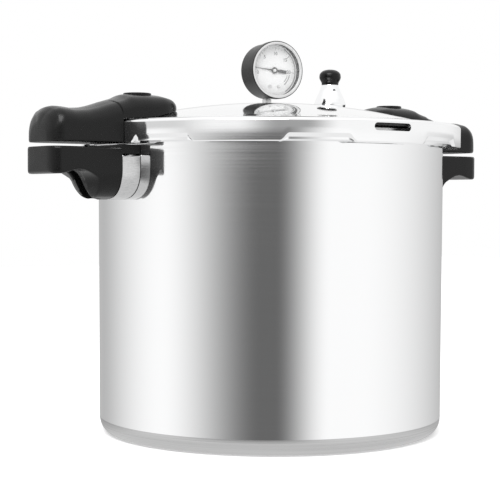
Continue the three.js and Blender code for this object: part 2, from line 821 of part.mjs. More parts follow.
function coverHandleScrew(side) {
  const seat = capFloor() - SCREW_SINK + TOUCH;
  const nutBottom = coverHeight(CAP_PLACE) - COVER_WALL - NUT_HEIGHT - 1.5;
  const profile = [
    [0, nutBottom - 1],
    [SCREW_RADIUS, nutBottom - 1],
    [SCREW_RADIUS, seat],
    [SCREW_HEAD_RADIUS, seat],
    [SCREW_HEAD_RADIUS, seat + SCREW_HEAD_HEIGHT - 1],
    [SCREW_HEAD_RADIUS - 1.2, seat + SCREW_HEAD_HEIGHT],
    [0, seat + SCREW_HEAD_HEIGHT],
  ];
  return upright(turned(profile), side * CAP_PLACE, 0, 0);
}

/** The button that closes a cover handle's screw hole, standing a little proud of the handle's back. */
function handleCap() {
  const floor = capFloor();
  const profile = [
    [0, floor],
    [CAP_RADIUS, floor],
    [CAP_RADIUS, floor + CAP_HEIGHT - 1.2],
    [CAP_RADIUS - 1, floor + CAP_HEIGHT - 0.4],
    [0, floor + CAP_HEIGHT],
  ];
  return turned(profile, ROUND_KNOB);
}

/** A hexagonal nut about +Z, with a plain hole. */
function nut(radius, hole, bottom, top) {
  return combine(bar(radius, bottom, top, 6), { cut: [bar(hole, bottom - 1, top + 1, 8)] });
}

for (const [side, name] of [[-1, 'left'], [1, 'right']]) {
  const nutTop = coverHeight(CAP_PLACE + NUT_RADIUS) - COVER_WALL - TOUCH;
  const cap = handleCap();
  addPiece(coverGroup, `cover_handle_${name}`, coverHandle(side), phenolic);
  addPiece(coverGroup, `cover_handle_cap_${name}`, upright(cap, side * CAP_PLACE, 0, 0), phenolic);
  addPiece(coverGroup, `cover_handle_screw_${name}`, coverHandleScrew(side), steel);
  const handleNut = nut(NUT_RADIUS, SCREW_RADIUS + TOUCH, nutTop - NUT_HEIGHT, nutTop);
  addPiece(coverGroup, `cover_handle_nut_${name}`, upright(handleNut, side * CAP_PLACE, 0, 0), steel);
}

// ---------------------------------------------------------------- vent pipe and weighted regulator

const ventGroup = new THREE.Group();
ventGroup.position.set(REGULATOR_PLACE, 0, coverHeight(REGULATOR_PLACE));
coverGroup.add(ventGroup);
const ventSlope = (2 * DOME_RISE * REGULATOR_PLACE) / domeRadius ** 2;
const pipeTop = REGULATOR_LIFT + PIPE_TIP_DEPTH;
const pipeNutTop = -COVER_WALL - ventSlope * PIPE_HEX_RADIUS - TOUCH;
const pipeNutBottom = pipeNutTop - NUT_HEIGHT;

function ventPipe() {
  const hexBottom = ventSlope * PIPE_HEX_RADIUS + TOUCH;
  const hex = bar(PIPE_HEX_RADIUS, hexBottom, REGULATOR_LIFT - TOUCH, 6);
  const pipe = turned([
    [0, pipeNutBottom - 2],
    [PIPE_RADIUS, pipeNutBottom - 2],
    [PIPE_RADIUS, pipeTop - 2.4],
    [PIPE_BORE + 0.6, pipeTop],
    [0, pipeTop],
  ]);
  const bore = bar(PIPE_BORE, pipeNutBottom - 3, pipeTop + 1, 8);
  return combine(pipe, { add: [hex], cut: [bore] });
}

addPiece(ventGroup, 'vent_pipe', ventPipe(), steel);
const pipeNut = nut(PIPE_HEX_RADIUS, PIPE_RADIUS + TOUCH, pipeNutBottom, pipeNutTop);
addPiece(ventGroup, 'vent_pipe_nut', pipeNut, steel);

function regulatorBody() {
  const bottom = REGULATOR_LIFT;
  const top = bottom + REGULATOR_BODY_HEIGHT;
  const wide = REGULATOR_SKIRT_RADIUS;
  const neck = REGULATOR_NECK_RADIUS;
  const rise = REGULATOR_BODY_HEIGHT;
  const flare = wide - neck;
  const profile = [
    [0, bottom],
    [wide - 3, bottom],
    [wide - 0.6, bottom + 0.9],
    [wide, bottom + 2.6],
    [neck + flare * 0.84, bottom + rise * 0.3],
    [neck + flare * 0.52, bottom + rise * 0.55],
    [neck + flare * 0.2, bottom + rise * 0.8],
    [neck, top],
    [0, top],
  ];
  const bore = bar(PIPE_RADIUS + 2 * TOUCH, bottom - 1, pipeTop + TOUCH);
  const dimple = bar(1.4, 0, 10, 8);
  dimple.rotateX(Math.PI / 2);
  dimple.translate(0, -neck, bottom + rise * 0.74);
  dimple.rotateZ(rad(-14));
  return combine(turned(profile, ROUND_KNOB), { cut: [bore, dimple] });
}

function regulatorKnob() {
  const bottom = REGULATOR_LIFT + REGULATOR_BODY_HEIGHT + TOUCH;
  const h = KNOB_HEIGHT - TOUCH;
  const middle = bottom + h * 0.53;
  const profile = [
    [0, bottom],
    [REGULATOR_NECK_RADIUS, bottom],
    [REGULATOR_NECK_RADIUS + 0.2, bottom + h * 0.14],
    ...arc(KNOB_RADIUS - h * 0.35, middle, h * 0.35, h * 0.33, -40, 60, 3),
    [KNOB_RADIUS - h * 0.32, bottom + h * 0.93],
    [KNOB_RADIUS * 0.4, bottom + h],
    [0, bottom + h],
  ];
  return turned(profile, ROUND_KNOB);
}

addPiece(ventGroup, 'regulator_body', regulatorBody(), chrome);
addPiece(ventGroup, 'regulator_knob', regulatorKnob(), phenolic);

// ---------------------------------------------------------------- cover lock and overpressure plug

const lockGroup = onDome(LOCK_PLACE);
coverGroup.add(lockGroup);
const grommetLip = 1.6;
const grommetTop = grommetLip + TOUCH;
const grommetBottom = -COVER_WALL - TOUCH - grommetLip;
const clipTop = grommetBottom - LOCK_TRAVEL - TOUCH;

function lockGrommet() {
  const bore = LOCK_PIN_RADIUS + TOUCH;
  return turned([
    [bore, grommetBottom],
    [LOCK_NECK_RADIUS + 2, grommetBottom],
    [LOCK_NECK_RADIUS + 2, -COVER_WALL - TOUCH],
    [LOCK_NECK_RADIUS, -COVER_WALL - TOUCH],
    [LOCK_NECK_RADIUS, TOUCH],
    [LOCK_NECK_RADIUS + 2, TOUCH],
    [LOCK_NECK_RADIUS + 1.6, grommetTop],
    [bore, grommetTop],
  ]);
}

function lockPin() {
  const head = grommetTop + TOUCH;
  return turned([
    [0, clipTop - 3.5],
    [LOCK_PIN_RADIUS - 0.6, clipTop - 3.5],
    [LOCK_PIN_RADIUS - 0.6, clipTop],
    [LOCK_PIN_RADIUS, clipTop],
    [LOCK_PIN_RADIUS, head],
    [LOCK_PIN_RADIUS + 1.7, head],
    [LOCK_PIN_RADIUS + 1.7, head + 1.4],
    [LOCK_PIN_RADIUS + 1, head + 2],
    [0, head + 2],
  ]);
}

function lockClip() {
  const hole = LOCK_PIN_RADIUS - 0.6 + TOUCH;
  return turned([
    [hole, clipTop - 2.2],
    [LOCK_PIN_RADIUS + 1.6, clipTop - 2.2],
    [LOCK_PIN_RADIUS + 1.6, clipTop - TOUCH],
    [hole, clipTop - TOUCH],
  ]);
}

addPiece(lockGroup, 'cover_lock_grommet', lockGrommet(), rubber);
addPiece(lockGroup, 'cover_lock_pin', lockPin(), steel);
addPiece(lockGroup, 'cover_lock_clip', lockClip(), steel);

function overpressurePlug() {
  const neck = PLUG_NECK_RADIUS;
  return turned([
    [0, -COVER_WALL - TOUCH - 2],
    [neck + 1, -COVER_WALL - TOUCH - 2],
    [neck + 2, -COVER_WALL - TOUCH],
    [neck, -COVER_WALL - TOUCH],
    [neck, TOUCH],
    [neck + 3.3, TOUCH],
    [neck + 3.3, TOUCH + 1.4],
    [neck + 2, TOUCH + 2.4],
    [0, TOUCH + 2.9],
  ]);
}

const plugGroup = onDome(PLUG_PLACE);
coverGroup.add(plugGroup);
addPiece(plugGroup, 'overpressure_plug', overpressurePlug(), rubber);

// ---------------------------------------------------------------- dial gauge

const gaugeGroup = new THREE.Group();
gaugeGroup.position.set(GAUGE_PLACE, 0, gaugeCentre);
gaugeGroup.rotation.z = rad(GAUGE_TURN);
coverGroup.add(gaugeGroup);

/** Lays geometry built along +Z so that its +Z runs out of the dial, towards the reader. */
function facing(geometry) {
  geometry.rotateX(Math.PI / 2);
  return geometry;
}

/** A round bar along the dial's axis, at (x, up) on the dial. */
function dialBar(radius, x, up, from, to, facets = 8) {
  const g = bar(radius, from, to, facets);
  g.translate(x, up, 0);
  return g;
}

const caseInside = CASE_RADIUS - CASE_WALL;
const sectorCentre = -gearDistance;
const crystalBack = CASE_FRONT + TOUCH;
const bezelFront = crystalBack + CRYSTAL_THICKNESS + TOUCH + BEZEL_WALL;
const shaftRadius = 0.7;
const sectorArborRadius = 0.9;
const arborBack = BACK_PLATE_OUT - 0.5;
const dialScrewPlaces = [-DIAL_SCREW_APART / 2, DIAL_SCREW_APART / 2];
const dialScrewDrop = -DIAL_SCREW_DROP;

function gaugeCase() {
  const cup = turned(
    [
      [0, CASE_BACK],
      [CASE_RADIUS - 1.5, CASE_BACK],
      [CASE_RADIUS, CASE_BACK + 1.5],
      [CASE_RADIUS, CASE_FRONT],
      [caseInside, CASE_FRONT],
      [caseInside, CASE_BACK + CASE_WALL],
      [0, CASE_BACK + CASE_WALL],
    ],
    ROUND_CASE,
  );
  const neck = bar(STEM_RADIUS + TOUCH, -CASE_RADIUS - 5, -CASE_RADIUS / 2);
  return combine(facing(cup), { cut: [neck] });
}

function gaugeBezel() {
  const inside = CASE_RADIUS + TOUCH;
  const lipBack = crystalBack + CRYSTAL_THICKNESS + TOUCH;
  return facing(
    turned(
      [
        [inside, CASE_FRONT - 4],
        [inside + BEZEL_WALL, CASE_FRONT - 4],
        [inside + BEZEL_WALL, bezelFront - 0.4],
        [inside + BEZEL_WALL - 0.4, bezelFront],
        [inside - BEZEL_LIP, bezelFront],
        [inside - BEZEL_LIP, lipBack],
        [inside, lipBack],
      ],
      ROUND_CASE,
    ),
  );
}

function gaugeDial() {
  const disc = dialBar(caseInside - TOUCH, 0, 0, DIAL_OUT, DIAL_OUT + DIAL_THICKNESS, ROUND_CASE);
  const holes = [dialBar(1.6, 0, 0, 0, 20)];
  for (const x of dialScrewPlaces) holes.push(dialBar(DIAL_SCREW_RADIUS + TOUCH, x, dialScrewDrop, 0, 20));
  return facing(combine(disc, { cut: holes }));
}

function dialScrew(x) {
  const seat = DIAL_OUT + DIAL_THICKNESS + TOUCH;
  const end = FRONT_PLATE_OUT - 0.4;
  const head = DIAL_SCREW_RADIUS + 0.8;
  const profile = [
    [0, end],
    [DIAL_SCREW_RADIUS, end],
    [DIAL_SCREW_RADIUS, seat],
    [head, seat],
    [head, seat + 0.5],
    [0, seat + 0.7],
  ];
  const screw = turned(profile, 8);
  screw.translate(x, dialScrewDrop, 0);
  return facing(screw);
}

/** Two plates on two posts, holed for both arbors and the dial's screws. */
function movementFrame() {
  const plate = (out) => dialBar(PLATE_RADIUS, 0, PLATE_RISE, out, out + PLATE_THICKNESS, 16);
  const posts = [-POST_PLACE, POST_PLACE].map((x) =>
    dialBar(1.5, x, PLATE_RISE / 2, BACK_PLATE_OUT, DIAL_OUT - TOUCH, 8),
  );
  const holes = [
    dialBar(shaftRadius + RUNNING, 0, 0, 0, 20),
    dialBar(sectorArborRadius + RUNNING, 0, sectorCentre, 0, 20),
  ];
  for (const x of dialScrewPlaces) {
    holes.push(dialBar(DIAL_SCREW_RADIUS + TOUCH, x, dialScrewDrop, FRONT_PLATE_OUT - 1, 20));
  }
  const add = [plate(FRONT_PLATE_OUT), ...posts];
  return facing(combine(plate(BACK_PLATE_OUT), { add, cut: holes }));
}

/** Outline of evenly spaced, slightly slim gear teeth between two angles in radians. */
function toothOutline(teeth, from, count, outerAdd, rootDrop, slim) {
  const pitchRadius = (GAUGE_MODULE * teeth) / 2;
  const step = (2 * Math.PI) / teeth;
  const outer = pitchRadius + outerAdd;
  const root = pitchRadius - rootDrop;
  const points = [];
  const at = (r, a) => points.push(new THREE.Vector2(r * Math.cos(a), r * Math.sin(a)));
  for (let i = 0; i < count; i += 1) {
    const middle = from + step * i;
    at(root, middle - step * 0.3);
    at(pitchRadius - rootDrop * 0.3, middle - step * (0.25 - slim));
    at(outer, middle - step * 0.1);
    at(outer, middle + step * 0.1);
    at(pitchRadius - rootDrop * 0.3, middle + step * (0.25 - slim));
    at(root, middle + step * 0.3);
  }
  return points;
}

/** Toothed sector with its hub, arbor and the short tail that the link pulls. */
function sectorGear() {
  const step = 360 / SECTOR_TEETH;
  const count = Math.ceil(SECTOR_SWEEP / step) + 4;
  const firstTooth = 90 + 1.5 * step - (count - 1) * step;
  const teeth = toothOutline(SECTOR_TEETH, rad(firstTooth), count, 0.45, 0.65, 0.07);
  const middle = rad(firstTooth + ((count - 1) * step) / 2);
  const shape = new THREE.Shape([new THREE.Vector2(0, 0), ...teeth]);
  const tail = new THREE.Shape();
  const across = new THREE.Vector2(-Math.sin(middle), Math.cos(middle)).multiplyScalar(1.1);
  const end = new THREE.Vector2(-Math.cos(middle), -Math.sin(middle)).multiplyScalar(7);
  tail.moveTo(across.x, across.y);
  tail.lineTo(end.x + across.x, end.y + across.y);
  tail.lineTo(end.x - across.x, end.y - across.y);
  tail.lineTo(-across.x, -across.y);
  const top = GEAR_OUT + GEAR_THICKNESS;
  const arborFront = FRONT_PLATE_OUT + PLATE_THICKNESS + 0.6;
  const sector = combine(raised(shape, GEAR_OUT, top), {
    add: [
      raised(tail, GEAR_OUT, top),
      bar(2, GEAR_OUT - 0.6, top + 0.6, 12),
      bar(sectorArborRadius, arborBack, arborFront, 12),
    ],
  });
  sector.translate(0, sectorCentre, 0);
  return facing(sector);
}

/** Arbor of the pointer with its ten-leaf pinion. */
function pointerShaft() {
  const step = (2 * Math.PI) / PINION_TEETH;
  const start = -Math.PI / 2;
  const leaves = new THREE.Shape(toothOutline(PINION_TEETH, start, PINION_TEETH, 0.4, 0.7, 0.09));
  const pinion = raised(leaves, GEAR_OUT - 0.4, GEAR_OUT + GEAR_THICKNESS + 0.4);
  const arbor = bar(shaftRadius, arborBack, DIAL_OUT + DIAL_THICKNESS + 1.8, 12);
  return facing(combine(pinion, { add: [arbor] }));
}

function gaugePointer() {
  const back = DIAL_OUT + DIAL_THICKNESS + 0.8;
  const shape = new THREE.Shape();
  shape.moveTo(20.5, 0.15);
  shape.lineTo(0, 0.7);
  shape.lineTo(-5, 0.7);
  shape.lineTo(-6, 1.5);
  shape.lineTo(-12.5, 1.5);
  shape.lineTo(-12.5, -1.5);
  shape.lineTo(-6, -1.5);
  shape.lineTo(-5, -0.7);
  shape.lineTo(0, -0.7);
  shape.lineTo(20.5, -0.15);
  const hub = bar(2.2, back - 0.3, back + 0.8, 16);
  const hole = bar(shaftRadius + TOUCH, back - 2, back + 3, 12);
  const pointer = combine(raised(shape, back, back + 0.4), { add: [hub], cut: [hole] });
  pointer.rotateZ(rad(POINTER_REST));
  return facing(pointer);
}

/** Flat spiral spring round the pointer's arbor. */
function hairspring() {
  const turns = 3;
  const steps = 27;
  const edge = (offset) =>
    Array.from({ length: steps + 1 }, (_, i) => {
      const a = (2 * Math.PI * turns * i) / steps;
      const r = 2 + (5 * i) / steps + offset;
      return new THREE.Vector2(r * Math.cos(a), r * Math.sin(a));
    });
  const shape = new THREE.Shape([...edge(0.25), ...edge(-0.25).reverse()]);
  return facing(raised(shape, BACK_PLATE_OUT + PLATE_THICKNESS + TOUCH, GEAR_OUT - 0.8));
}

const bourdonTip = -22; // degrees on the dial
const bourdonRoot = 253;

/** The flattened C-shaped tube that straightens under pressure. */
function bourdonTube() {
  const shape = new THREE.Shape();
  const [inner, outer] = [BOURDON_RADIUS - 0.8, BOURDON_RADIUS + 0.8];
  shape.absarc(0, 0, outer, rad(bourdonTip), rad(bourdonRoot), false);
  shape.absarc(0, 0, inner, rad(bourdonRoot), rad(bourdonTip), true);
  return facing(raised(shape, -2, 2.6, 12));
}

/** Link from the tube's tip to the sector's tail, one flat bar with a pin at the tip. */
function gaugeLink() {
  const tip = new THREE.Vector2(Math.cos(rad(bourdonTip)), Math.sin(rad(bourdonTip)));
  tip.multiplyScalar(BOURDON_RADIUS);
  const tail = new THREE.Vector2(-1.6, sectorCentre - 6.4);
  const along = tail.clone().sub(tip).normalize();
  const across = new THREE.Vector2(-along.y, along.x).multiplyScalar(0.8);
  const shape = new THREE.Shape([
    tip.clone().addScaledVector(along, -1.2).add(across),
    tip.clone().addScaledVector(along, -1.2).sub(across),
    tail.clone().sub(across),
    tail.clone().add(across),
  ]);
  const pin = dialBar(0.7, tip.x, tip.y, 2.6 + TOUCH, GEAR_OUT - 1.2, 10);
  return facing(combine(raised(shape, GEAR_OUT - 1.6, GEAR_OUT - 1), { add: [pin] }));
}

/** Socket inside the case, neck, square and threaded end in one piece, with its bore. */
function gaugeStem() {
  const bottom = gaugeBase - gaugeCentre; // the dome, seen from the dial's centre
  const half = STEM_SQUARE / 2;
  const socketBottom = -caseInside + 1.4;
  const socket = box(-4, 4, -3.6, 3, socketBottom, socketBottom + 7);
  const square = box(-half, half, -half, half, bottom + 0.6, -CASE_RADIUS - TOUCH);
  const threadEnd = bottom - COVER_WALL - NUT_HEIGHT - 4;
  const neck = bar(STEM_RADIUS, threadEnd, socketBottom + 1);
  const bore = bar(1.1, threadEnd - 1, socketBottom + 4, 10);
  return combine(neck, { add: [socket, square], cut: [bore] });
}

function stemPlace(geometry) {
  geometry.translate(0, 0, gaugeBase - gaugeCentre);
  return geometry;
}

const gasketTop = -COVER_WALL - 2 * TOUCH;
const gasketThickness = 1;
const gaugeGasket = turned([
  [STEM_RADIUS + TOUCH, gasketTop - gasketThickness],
  [6.2, gasketTop - gasketThickness],
  [6.2, gasketTop],
  [STEM_RADIUS + TOUCH, gasketTop],
]);
const gaugeNutTop = gasketTop - gasketThickness - TOUCH;
const gaugeNut = nut(5.6, STEM_RADIUS + TOUCH, gaugeNutTop - NUT_HEIGHT, gaugeNutTop);
const crystal = dialBar(CASE_RADIUS, 0, 0, crystalBack, crystalBack + CRYSTAL_THICKNESS, ROUND_CASE);

addPiece(gaugeGroup, 'gauge_case', gaugeCase(), caseBlack);
addPiece(gaugeGroup, 'gauge_bezel', gaugeBezel(), caseBlack);
addPiece(gaugeGroup, 'gauge_crystal', facing(crystal), clear);
addPiece(gaugeGroup, 'gauge_dial', gaugeDial(), dialWhite);
dialScrewPlaces.forEach((x, i) => addPiece(gaugeGroup, `dial_screw_${i + 1}`, dialScrew(x), steel));
addPiece(gaugeGroup, 'movement_frame', movementFrame(), brass);
addPiece(gaugeGroup, 'sector_gear', sectorGear(), brass);
addPiece(gaugeGroup, 'pointer_shaft', pointerShaft(), brass);
addPiece(gaugeGroup, 'gauge_pointer', gaugePointer(), pointerBlack);
addPiece(gaugeGroup, 'hairspring', hairspring(), steel);
addPiece(gaugeGroup, 'bourdon_tube', bourdonTube(), brass);
addPiece(gaugeGroup, 'gauge_link', gaugeLink(), steel);
addPiece(gaugeGroup, 'gauge_stem', gaugeStem(), satinAluminium);
addPiece(gaugeGroup, 'gauge_gasket', stemPlace(gaugeGasket), rubber);
addPiece(gaugeGroup, 'gauge_nut', stemPlace(gaugeNut), steel);

export default object;
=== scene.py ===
"""Looks of a stove-top pressure canner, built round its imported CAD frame.

Lengths are in millimetres, turned to metres where a mesh or a place is made. +X runs along the handles.
"""

import json
import math

import bpy
from mathutils import Matrix, Vector


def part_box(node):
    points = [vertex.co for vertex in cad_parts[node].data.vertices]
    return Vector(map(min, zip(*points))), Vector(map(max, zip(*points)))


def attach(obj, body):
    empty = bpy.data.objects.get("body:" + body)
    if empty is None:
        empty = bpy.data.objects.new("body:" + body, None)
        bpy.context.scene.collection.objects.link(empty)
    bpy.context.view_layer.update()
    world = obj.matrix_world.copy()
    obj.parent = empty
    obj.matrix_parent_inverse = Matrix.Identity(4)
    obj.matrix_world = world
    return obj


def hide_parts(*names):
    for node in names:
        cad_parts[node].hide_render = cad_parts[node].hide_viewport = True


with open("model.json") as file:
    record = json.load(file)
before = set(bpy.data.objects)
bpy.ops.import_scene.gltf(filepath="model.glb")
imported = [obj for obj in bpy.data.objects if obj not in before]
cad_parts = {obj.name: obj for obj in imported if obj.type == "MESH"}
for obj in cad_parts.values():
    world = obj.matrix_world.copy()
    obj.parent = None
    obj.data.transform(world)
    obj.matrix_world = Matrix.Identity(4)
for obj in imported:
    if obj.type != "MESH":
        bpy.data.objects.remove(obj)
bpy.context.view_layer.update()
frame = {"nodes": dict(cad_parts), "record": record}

MM = 0.001
scene = bpy.context.scene


# ---------------------------------------------------------------- sizes, from the frame


def low(node):
    """Lowest corner of a CAD node's box, in millimetres."""
    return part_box(node)[0] / MM


def high(node):
    """Highest corner of a CAD node's box, in millimetres."""
    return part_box(node)[1] / MM


GAP = 0.3  # between two pieces that touch

POT_TOP = high("pot_body").z
POT_LUG = high("pot_body").x  # outside radius of the pot's lugs
POT_LUG_ANGLE = 18
POT_LUG_LOW = POT_TOP - 11
POT_LUG_HIGH = POT_TOP - 6
POT_FLANGE = POT_LUG - 8.5
FLANGE_HEIGHT = 12
RIM_RADIUS = POT_FLANGE - 3.4
BASE_RADIUS = RIM_RADIUS - 1.2
POT_WALL = 2.8
POT_FLOOR = 5
FLOOR_FILLET = 8
BASE_BAND = 14.5  # height of the rounded corner round the base
BASE_INSET = 10.4  # how far that corner brings the flat base in

SKIRT = high("cover").x  # outside radius of the cover
APEX = high("cover").z
SKIRT_BOTTOM = low("cover").z
COVER_WALL = 2.7
SKIRT_INSIDE = SKIRT - COVER_WALL
SKIRT_TOP = SKIRT_BOTTOM + 20.1
SKIRT_FILLET = 2.5
SCALLOP_RISE = 1.7  # how far the skirt's edge is raised between lugs
DOME_RADIUS = SKIRT - 33.5
LEDGE_FALL = 3.25
DOME_RISE = APEX - SKIRT_TOP - LEDGE_FALL
LUGS = 8
COVER_LUG_ANGLE = 24
COVER_LUG_GAP = 0.7  # cover lug to the pot's rim bead
WINDOW_HALF_ANGLE = 6.5
WINDOW_HALF_HEIGHT = 3.25
WINDOW_Z = SKIRT_TOP - 6.7

REACH = high("cover_handle_right").x
HALF_WIDTH = high("cover_handle_right").y
COVER_HANDLE_BOTTOM = low("cover_handle_right").z
COVER_HANDLE_RISE = 43.8
COVER_HANDLE_TIP = 110
BODY_HANDLE_TOP = 258
HANDLE_DEPTH = BODY_HANDLE_TOP - low("body_handle_right").z
BODY_HANDLE_INNER = high("handle_bracket_right").x + GAP
GRIP = 23  # body handle: top to the grip's underside
LEDGE_DROP = 5.5  # body handle: top to the underside of the ledge over its bracket
LEDGE_RISE = 2.4  # the ledge's top, above the rest of the handle
CAP_PLACE = 144
CAP_RADIUS = 12.3

GAUGE_TURN = math.radians(-6.5)
GAUGE_X = -4.5
CASE_RADIUS = 25.4
GAUGE_Z = high("gauge_case").z - CASE_RADIUS

REGULATOR_X = 70
LOCK_PLACE = (-62, 122)
PLUG_PLACE = (40, 110)


def cover_height(r):
    """Height of the cover's outside at a distance from its axis."""
    if r < DOME_RADIUS:
        return APEX - DOME_RISE * (r / DOME_RADIUS) ** 2
    return SKIRT_TOP + LEDGE_FALL * (SKIRT - r) / (SKIRT - DOME_RADIUS)


# ---------------------------------------------------------------- materials


def principled(name, colour, roughness, metallic=0.0, **more):
    """A Principled material with its plain values set on the shader's own sockets."""
    material = bpy.data.materials.new(name)
    material.use_nodes = True
    shader = material.node_tree.nodes["Principled BSDF"]
    shader.inputs["Base Color"].default_value = (*colour, 1)
    shader.inputs["Roughness"].default_value = roughness
    shader.inputs["Metallic"].default_value = metallic
    for key, value in more.items():
        shader.inputs[key.replace("_", " ")].default_value = value
    return material


def grain(material, scale, roughness, bump, detail=3.0, shades=None):
    """Adds a grain, stretched by scale, to the roughness, the bump and, with two shades, the colour."""
    tree = material.node_tree
    shader = tree.nodes["Principled BSDF"]
    place = tree.nodes.new("ShaderNodeTexCoord")
    mapping = tree.nodes.new("ShaderNodeMapping")
    mapping.inputs["Scale"].default_value = scale
    noise = tree.nodes.new("ShaderNodeTexNoise")
    noise.inputs["Scale"].default_value = 1.0
    noise.inputs["Detail"].default_value = detail
    tree.links.new(place.outputs["Object"], mapping.inputs["Vector"])
    tree.links.new(mapping.outputs["Vector"], noise.inputs["Vector"])
    spread = tree.nodes.new("ShaderNodeMapRange")
    spread.inputs["From Min"].default_value = 0.3
    spread.inputs["From Max"].default_value = 0.7
    spread.inputs["To Min"].default_value = roughness[0]
    spread.inputs["To Max"].default_value = roughness[1]
    tree.links.new(noise.outputs["Fac"], spread.inputs["Value"])
    tree.links.new(spread.outputs["Result"], shader.inputs["Roughness"])
    if bump:
        raised = tree.nodes.new("ShaderNodeBump")
        raised.inputs["Strength"].default_value = bump
        raised.inputs["Distance"].default_value = 0.0001
        tree.links.new(noise.outputs["Fac"], raised.inputs["Height"])
        tree.links.new(raised.outputs["Normal"], shader.inputs["Normal"])
    if shades:
        ramp = tree.nodes.new("ShaderNodeValToRGB")
        ramp.color_ramp.elements[0].position = 0.3
        ramp.color_ramp.elements[0].color = (*shades[0], 1)
        ramp.color_ramp.elements[1].position = 0.7
        ramp.color_ramp.elements[1].color = (*shades[1], 1)
        tree.links.new(noise.outputs["Fac"], ramp.inputs["Fac"])
        tree.links.new(ramp.outputs["Color"], shader.inputs["Base Color"])
    return material


def grey(value):
    return (value, value, value)


polished = grain(
    principled("polished_aluminium", (0.92, 0.922, 0.925), 0.07, 1.0),
    (3, 3, 700),
    (0.05, 0.09),
    0.012,
)
brushed = grain(
    principled("brushed_aluminium", (0.58, 0.583, 0.588), 0.3, 1.0),
    (4, 4, 1400),
    (0.24, 0.38),
    0.35,
    shades=(grey(0.52), grey(0.64)),
)
bracket_metal = grain(
    principled("bracket_metal", (0.6, 0.603, 0.608), 0.12, 1.0),
    (300, 300, 900),
    (0.08, 0.16),
    0.05,
    shades=(grey(0.56), grey(0.64)),
)
satin = grain(
    principled("satin_aluminium", (0.78, 0.785, 0.79), 0.35, 1.0),
    (500, 500, 500),
    (0.28, 0.42),
    0.2,
    shades=(grey(0.7), grey(0.82)),
)
chrome = grain(
    principled("chrome", (0.93, 0.935, 0.94), 0.05, 1.0),
    (60, 60, 60),
    (0.03, 0.07),
    0.0,
)
steel = grain(
    principled("steel", (0.62, 0.63, 0.64), 0.28, 1.0),
    (300, 300, 900),
    (0.2, 0.36),
    0.15,
    shades=(grey(0.56), grey(0.68)),
)
brass = grain(
    principled("brass", (0.72, 0.5, 0.22), 0.25, 1.0),
    (400, 400, 400),
    (0.2, 0.35),
    0.1,
    shades=((0.66, 0.44, 0.18), (0.76, 0.54, 0.26)),
)
phenolic = grain(
    principled("phenolic", grey(0.003), 0.27, 0.0, Specular_IOR_Level=0.24),
    (900, 900, 900),
    (0.22, 0.32),
    0.1,
    shades=(grey(0.0025), grey(0.004)),
)
gauge_black = grain(
    principled("gauge_black", grey(0.008), 0.3, 0.0, Specular_IOR_Level=0.3),
    (700, 700, 700),
    (0.25, 0.4),
    0.12,
    shades=(grey(0.006), grey(0.012)),
)
bezel_lip = grain(
    principled("bezel_lip", grey(0.48), 0.45, 0.0),
    (300, 300, 300),
    (0.4, 0.55),
    0.05,
    shades=(grey(0.46), grey(0.51)),
)
rubber = grain(
    principled("rubber", grey(0.03), 0.7, 0.0),
    (500, 500, 500),
    (0.62, 0.8),
    0.4,
    shades=(grey(0.022), grey(0.04)),
)
dial_white = grain(
    principled("dial_white", grey(0.68), 0.5, 0.0),
    (800, 800, 800),
    (0.45, 0.55),
    0.0,
    shades=(grey(0.66), grey(0.7)),
)
print_black = grain(
    principled("dial_print", grey(0.05), 0.5, 0.0),
    (800, 800, 800),
    (0.45, 0.6),
    0.0,
    shades=(grey(0.04), grey(0.07)),
)
print_grey = grain(
    principled("dial_print_grey", grey(0.25), 0.5, 0.0),
    (800, 800, 800),
    (0.45, 0.6),
    0.0,
    shades=(grey(0.22), grey(0.29)),
)
pointer_black = grain(
    principled("pointer_black", grey(0.02), 0.4, 0.0),
    (800, 800, 800),
    (0.35, 0.5),
    0.0,
    shades=(grey(0.015), grey(0.03)),
)
glass = grain(
    principled("gauge_glass", (0.97, 0.98, 0.98), 0.03, 0.0, Alpha=0.06),
    (40, 40, 40),
    (0.02, 0.05),
    0.0,
)

LOOKS = {
    "polished_aluminium": polished,
    "satin_aluminium": satin,
    "chrome": chrome,
    "steel": steel,
    "brass": brass,
    "phenolic": phenolic,
    "gauge_black": gauge_black,
    "rubber": rubber,
    "dial_white": dial_white,
    "pointer_black": pointer_black,
    "gauge_glass": glass,
}


# ---------------------------------------------------------------- mesh helpers


def build(name, points, faces, looks, matrix=None, sharp=35):
    """A smooth-shaded mesh object from points in millimetres. Edges sharper than the angle stay sharp."""
    mesh = bpy.data.meshes.new(name)
    mesh.from_pydata([Vector(p) * MM for p in points], [], faces)
    mesh.validate()
    mesh.update()
    for look in looks if isinstance(looks, (list, tuple)) else [looks]:
        mesh.materials.append(look)
    if matrix is not None:
        mesh.transform(matrix)
    mesh.shade_smooth()
    mesh.set_sharp_from_angle(angle=math.radians(sharp))
    obj = bpy.data.objects.new(name, mesh)
    scene.collection.objects.link(obj)
    weighted = obj.modifiers.new("flat faces lead", "WEIGHTED_NORMAL")
    weighted.keep_sharp = True
    weighted.weight = 80
    return obj


def on(obj, body, slot, *nodes):
    """Puts a finished piece on its body, in place of CAD nodes."""
    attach(obj, body)
    if nodes:
        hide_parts(*nodes)
    return obj


def grid_faces(rows, columns, closed=True, start=0):
    """Quads between rows of points; a closed grid joins its last column to its first."""
    faces = []
    for i in range(rows - 1):
        for j in range(columns if closed else columns - 1):
            k = (j + 1) % columns
            a, b = start + i * columns, start + (i + 1) * columns
            faces.append((a + j, a + k, b + k, b + j))
    return faces


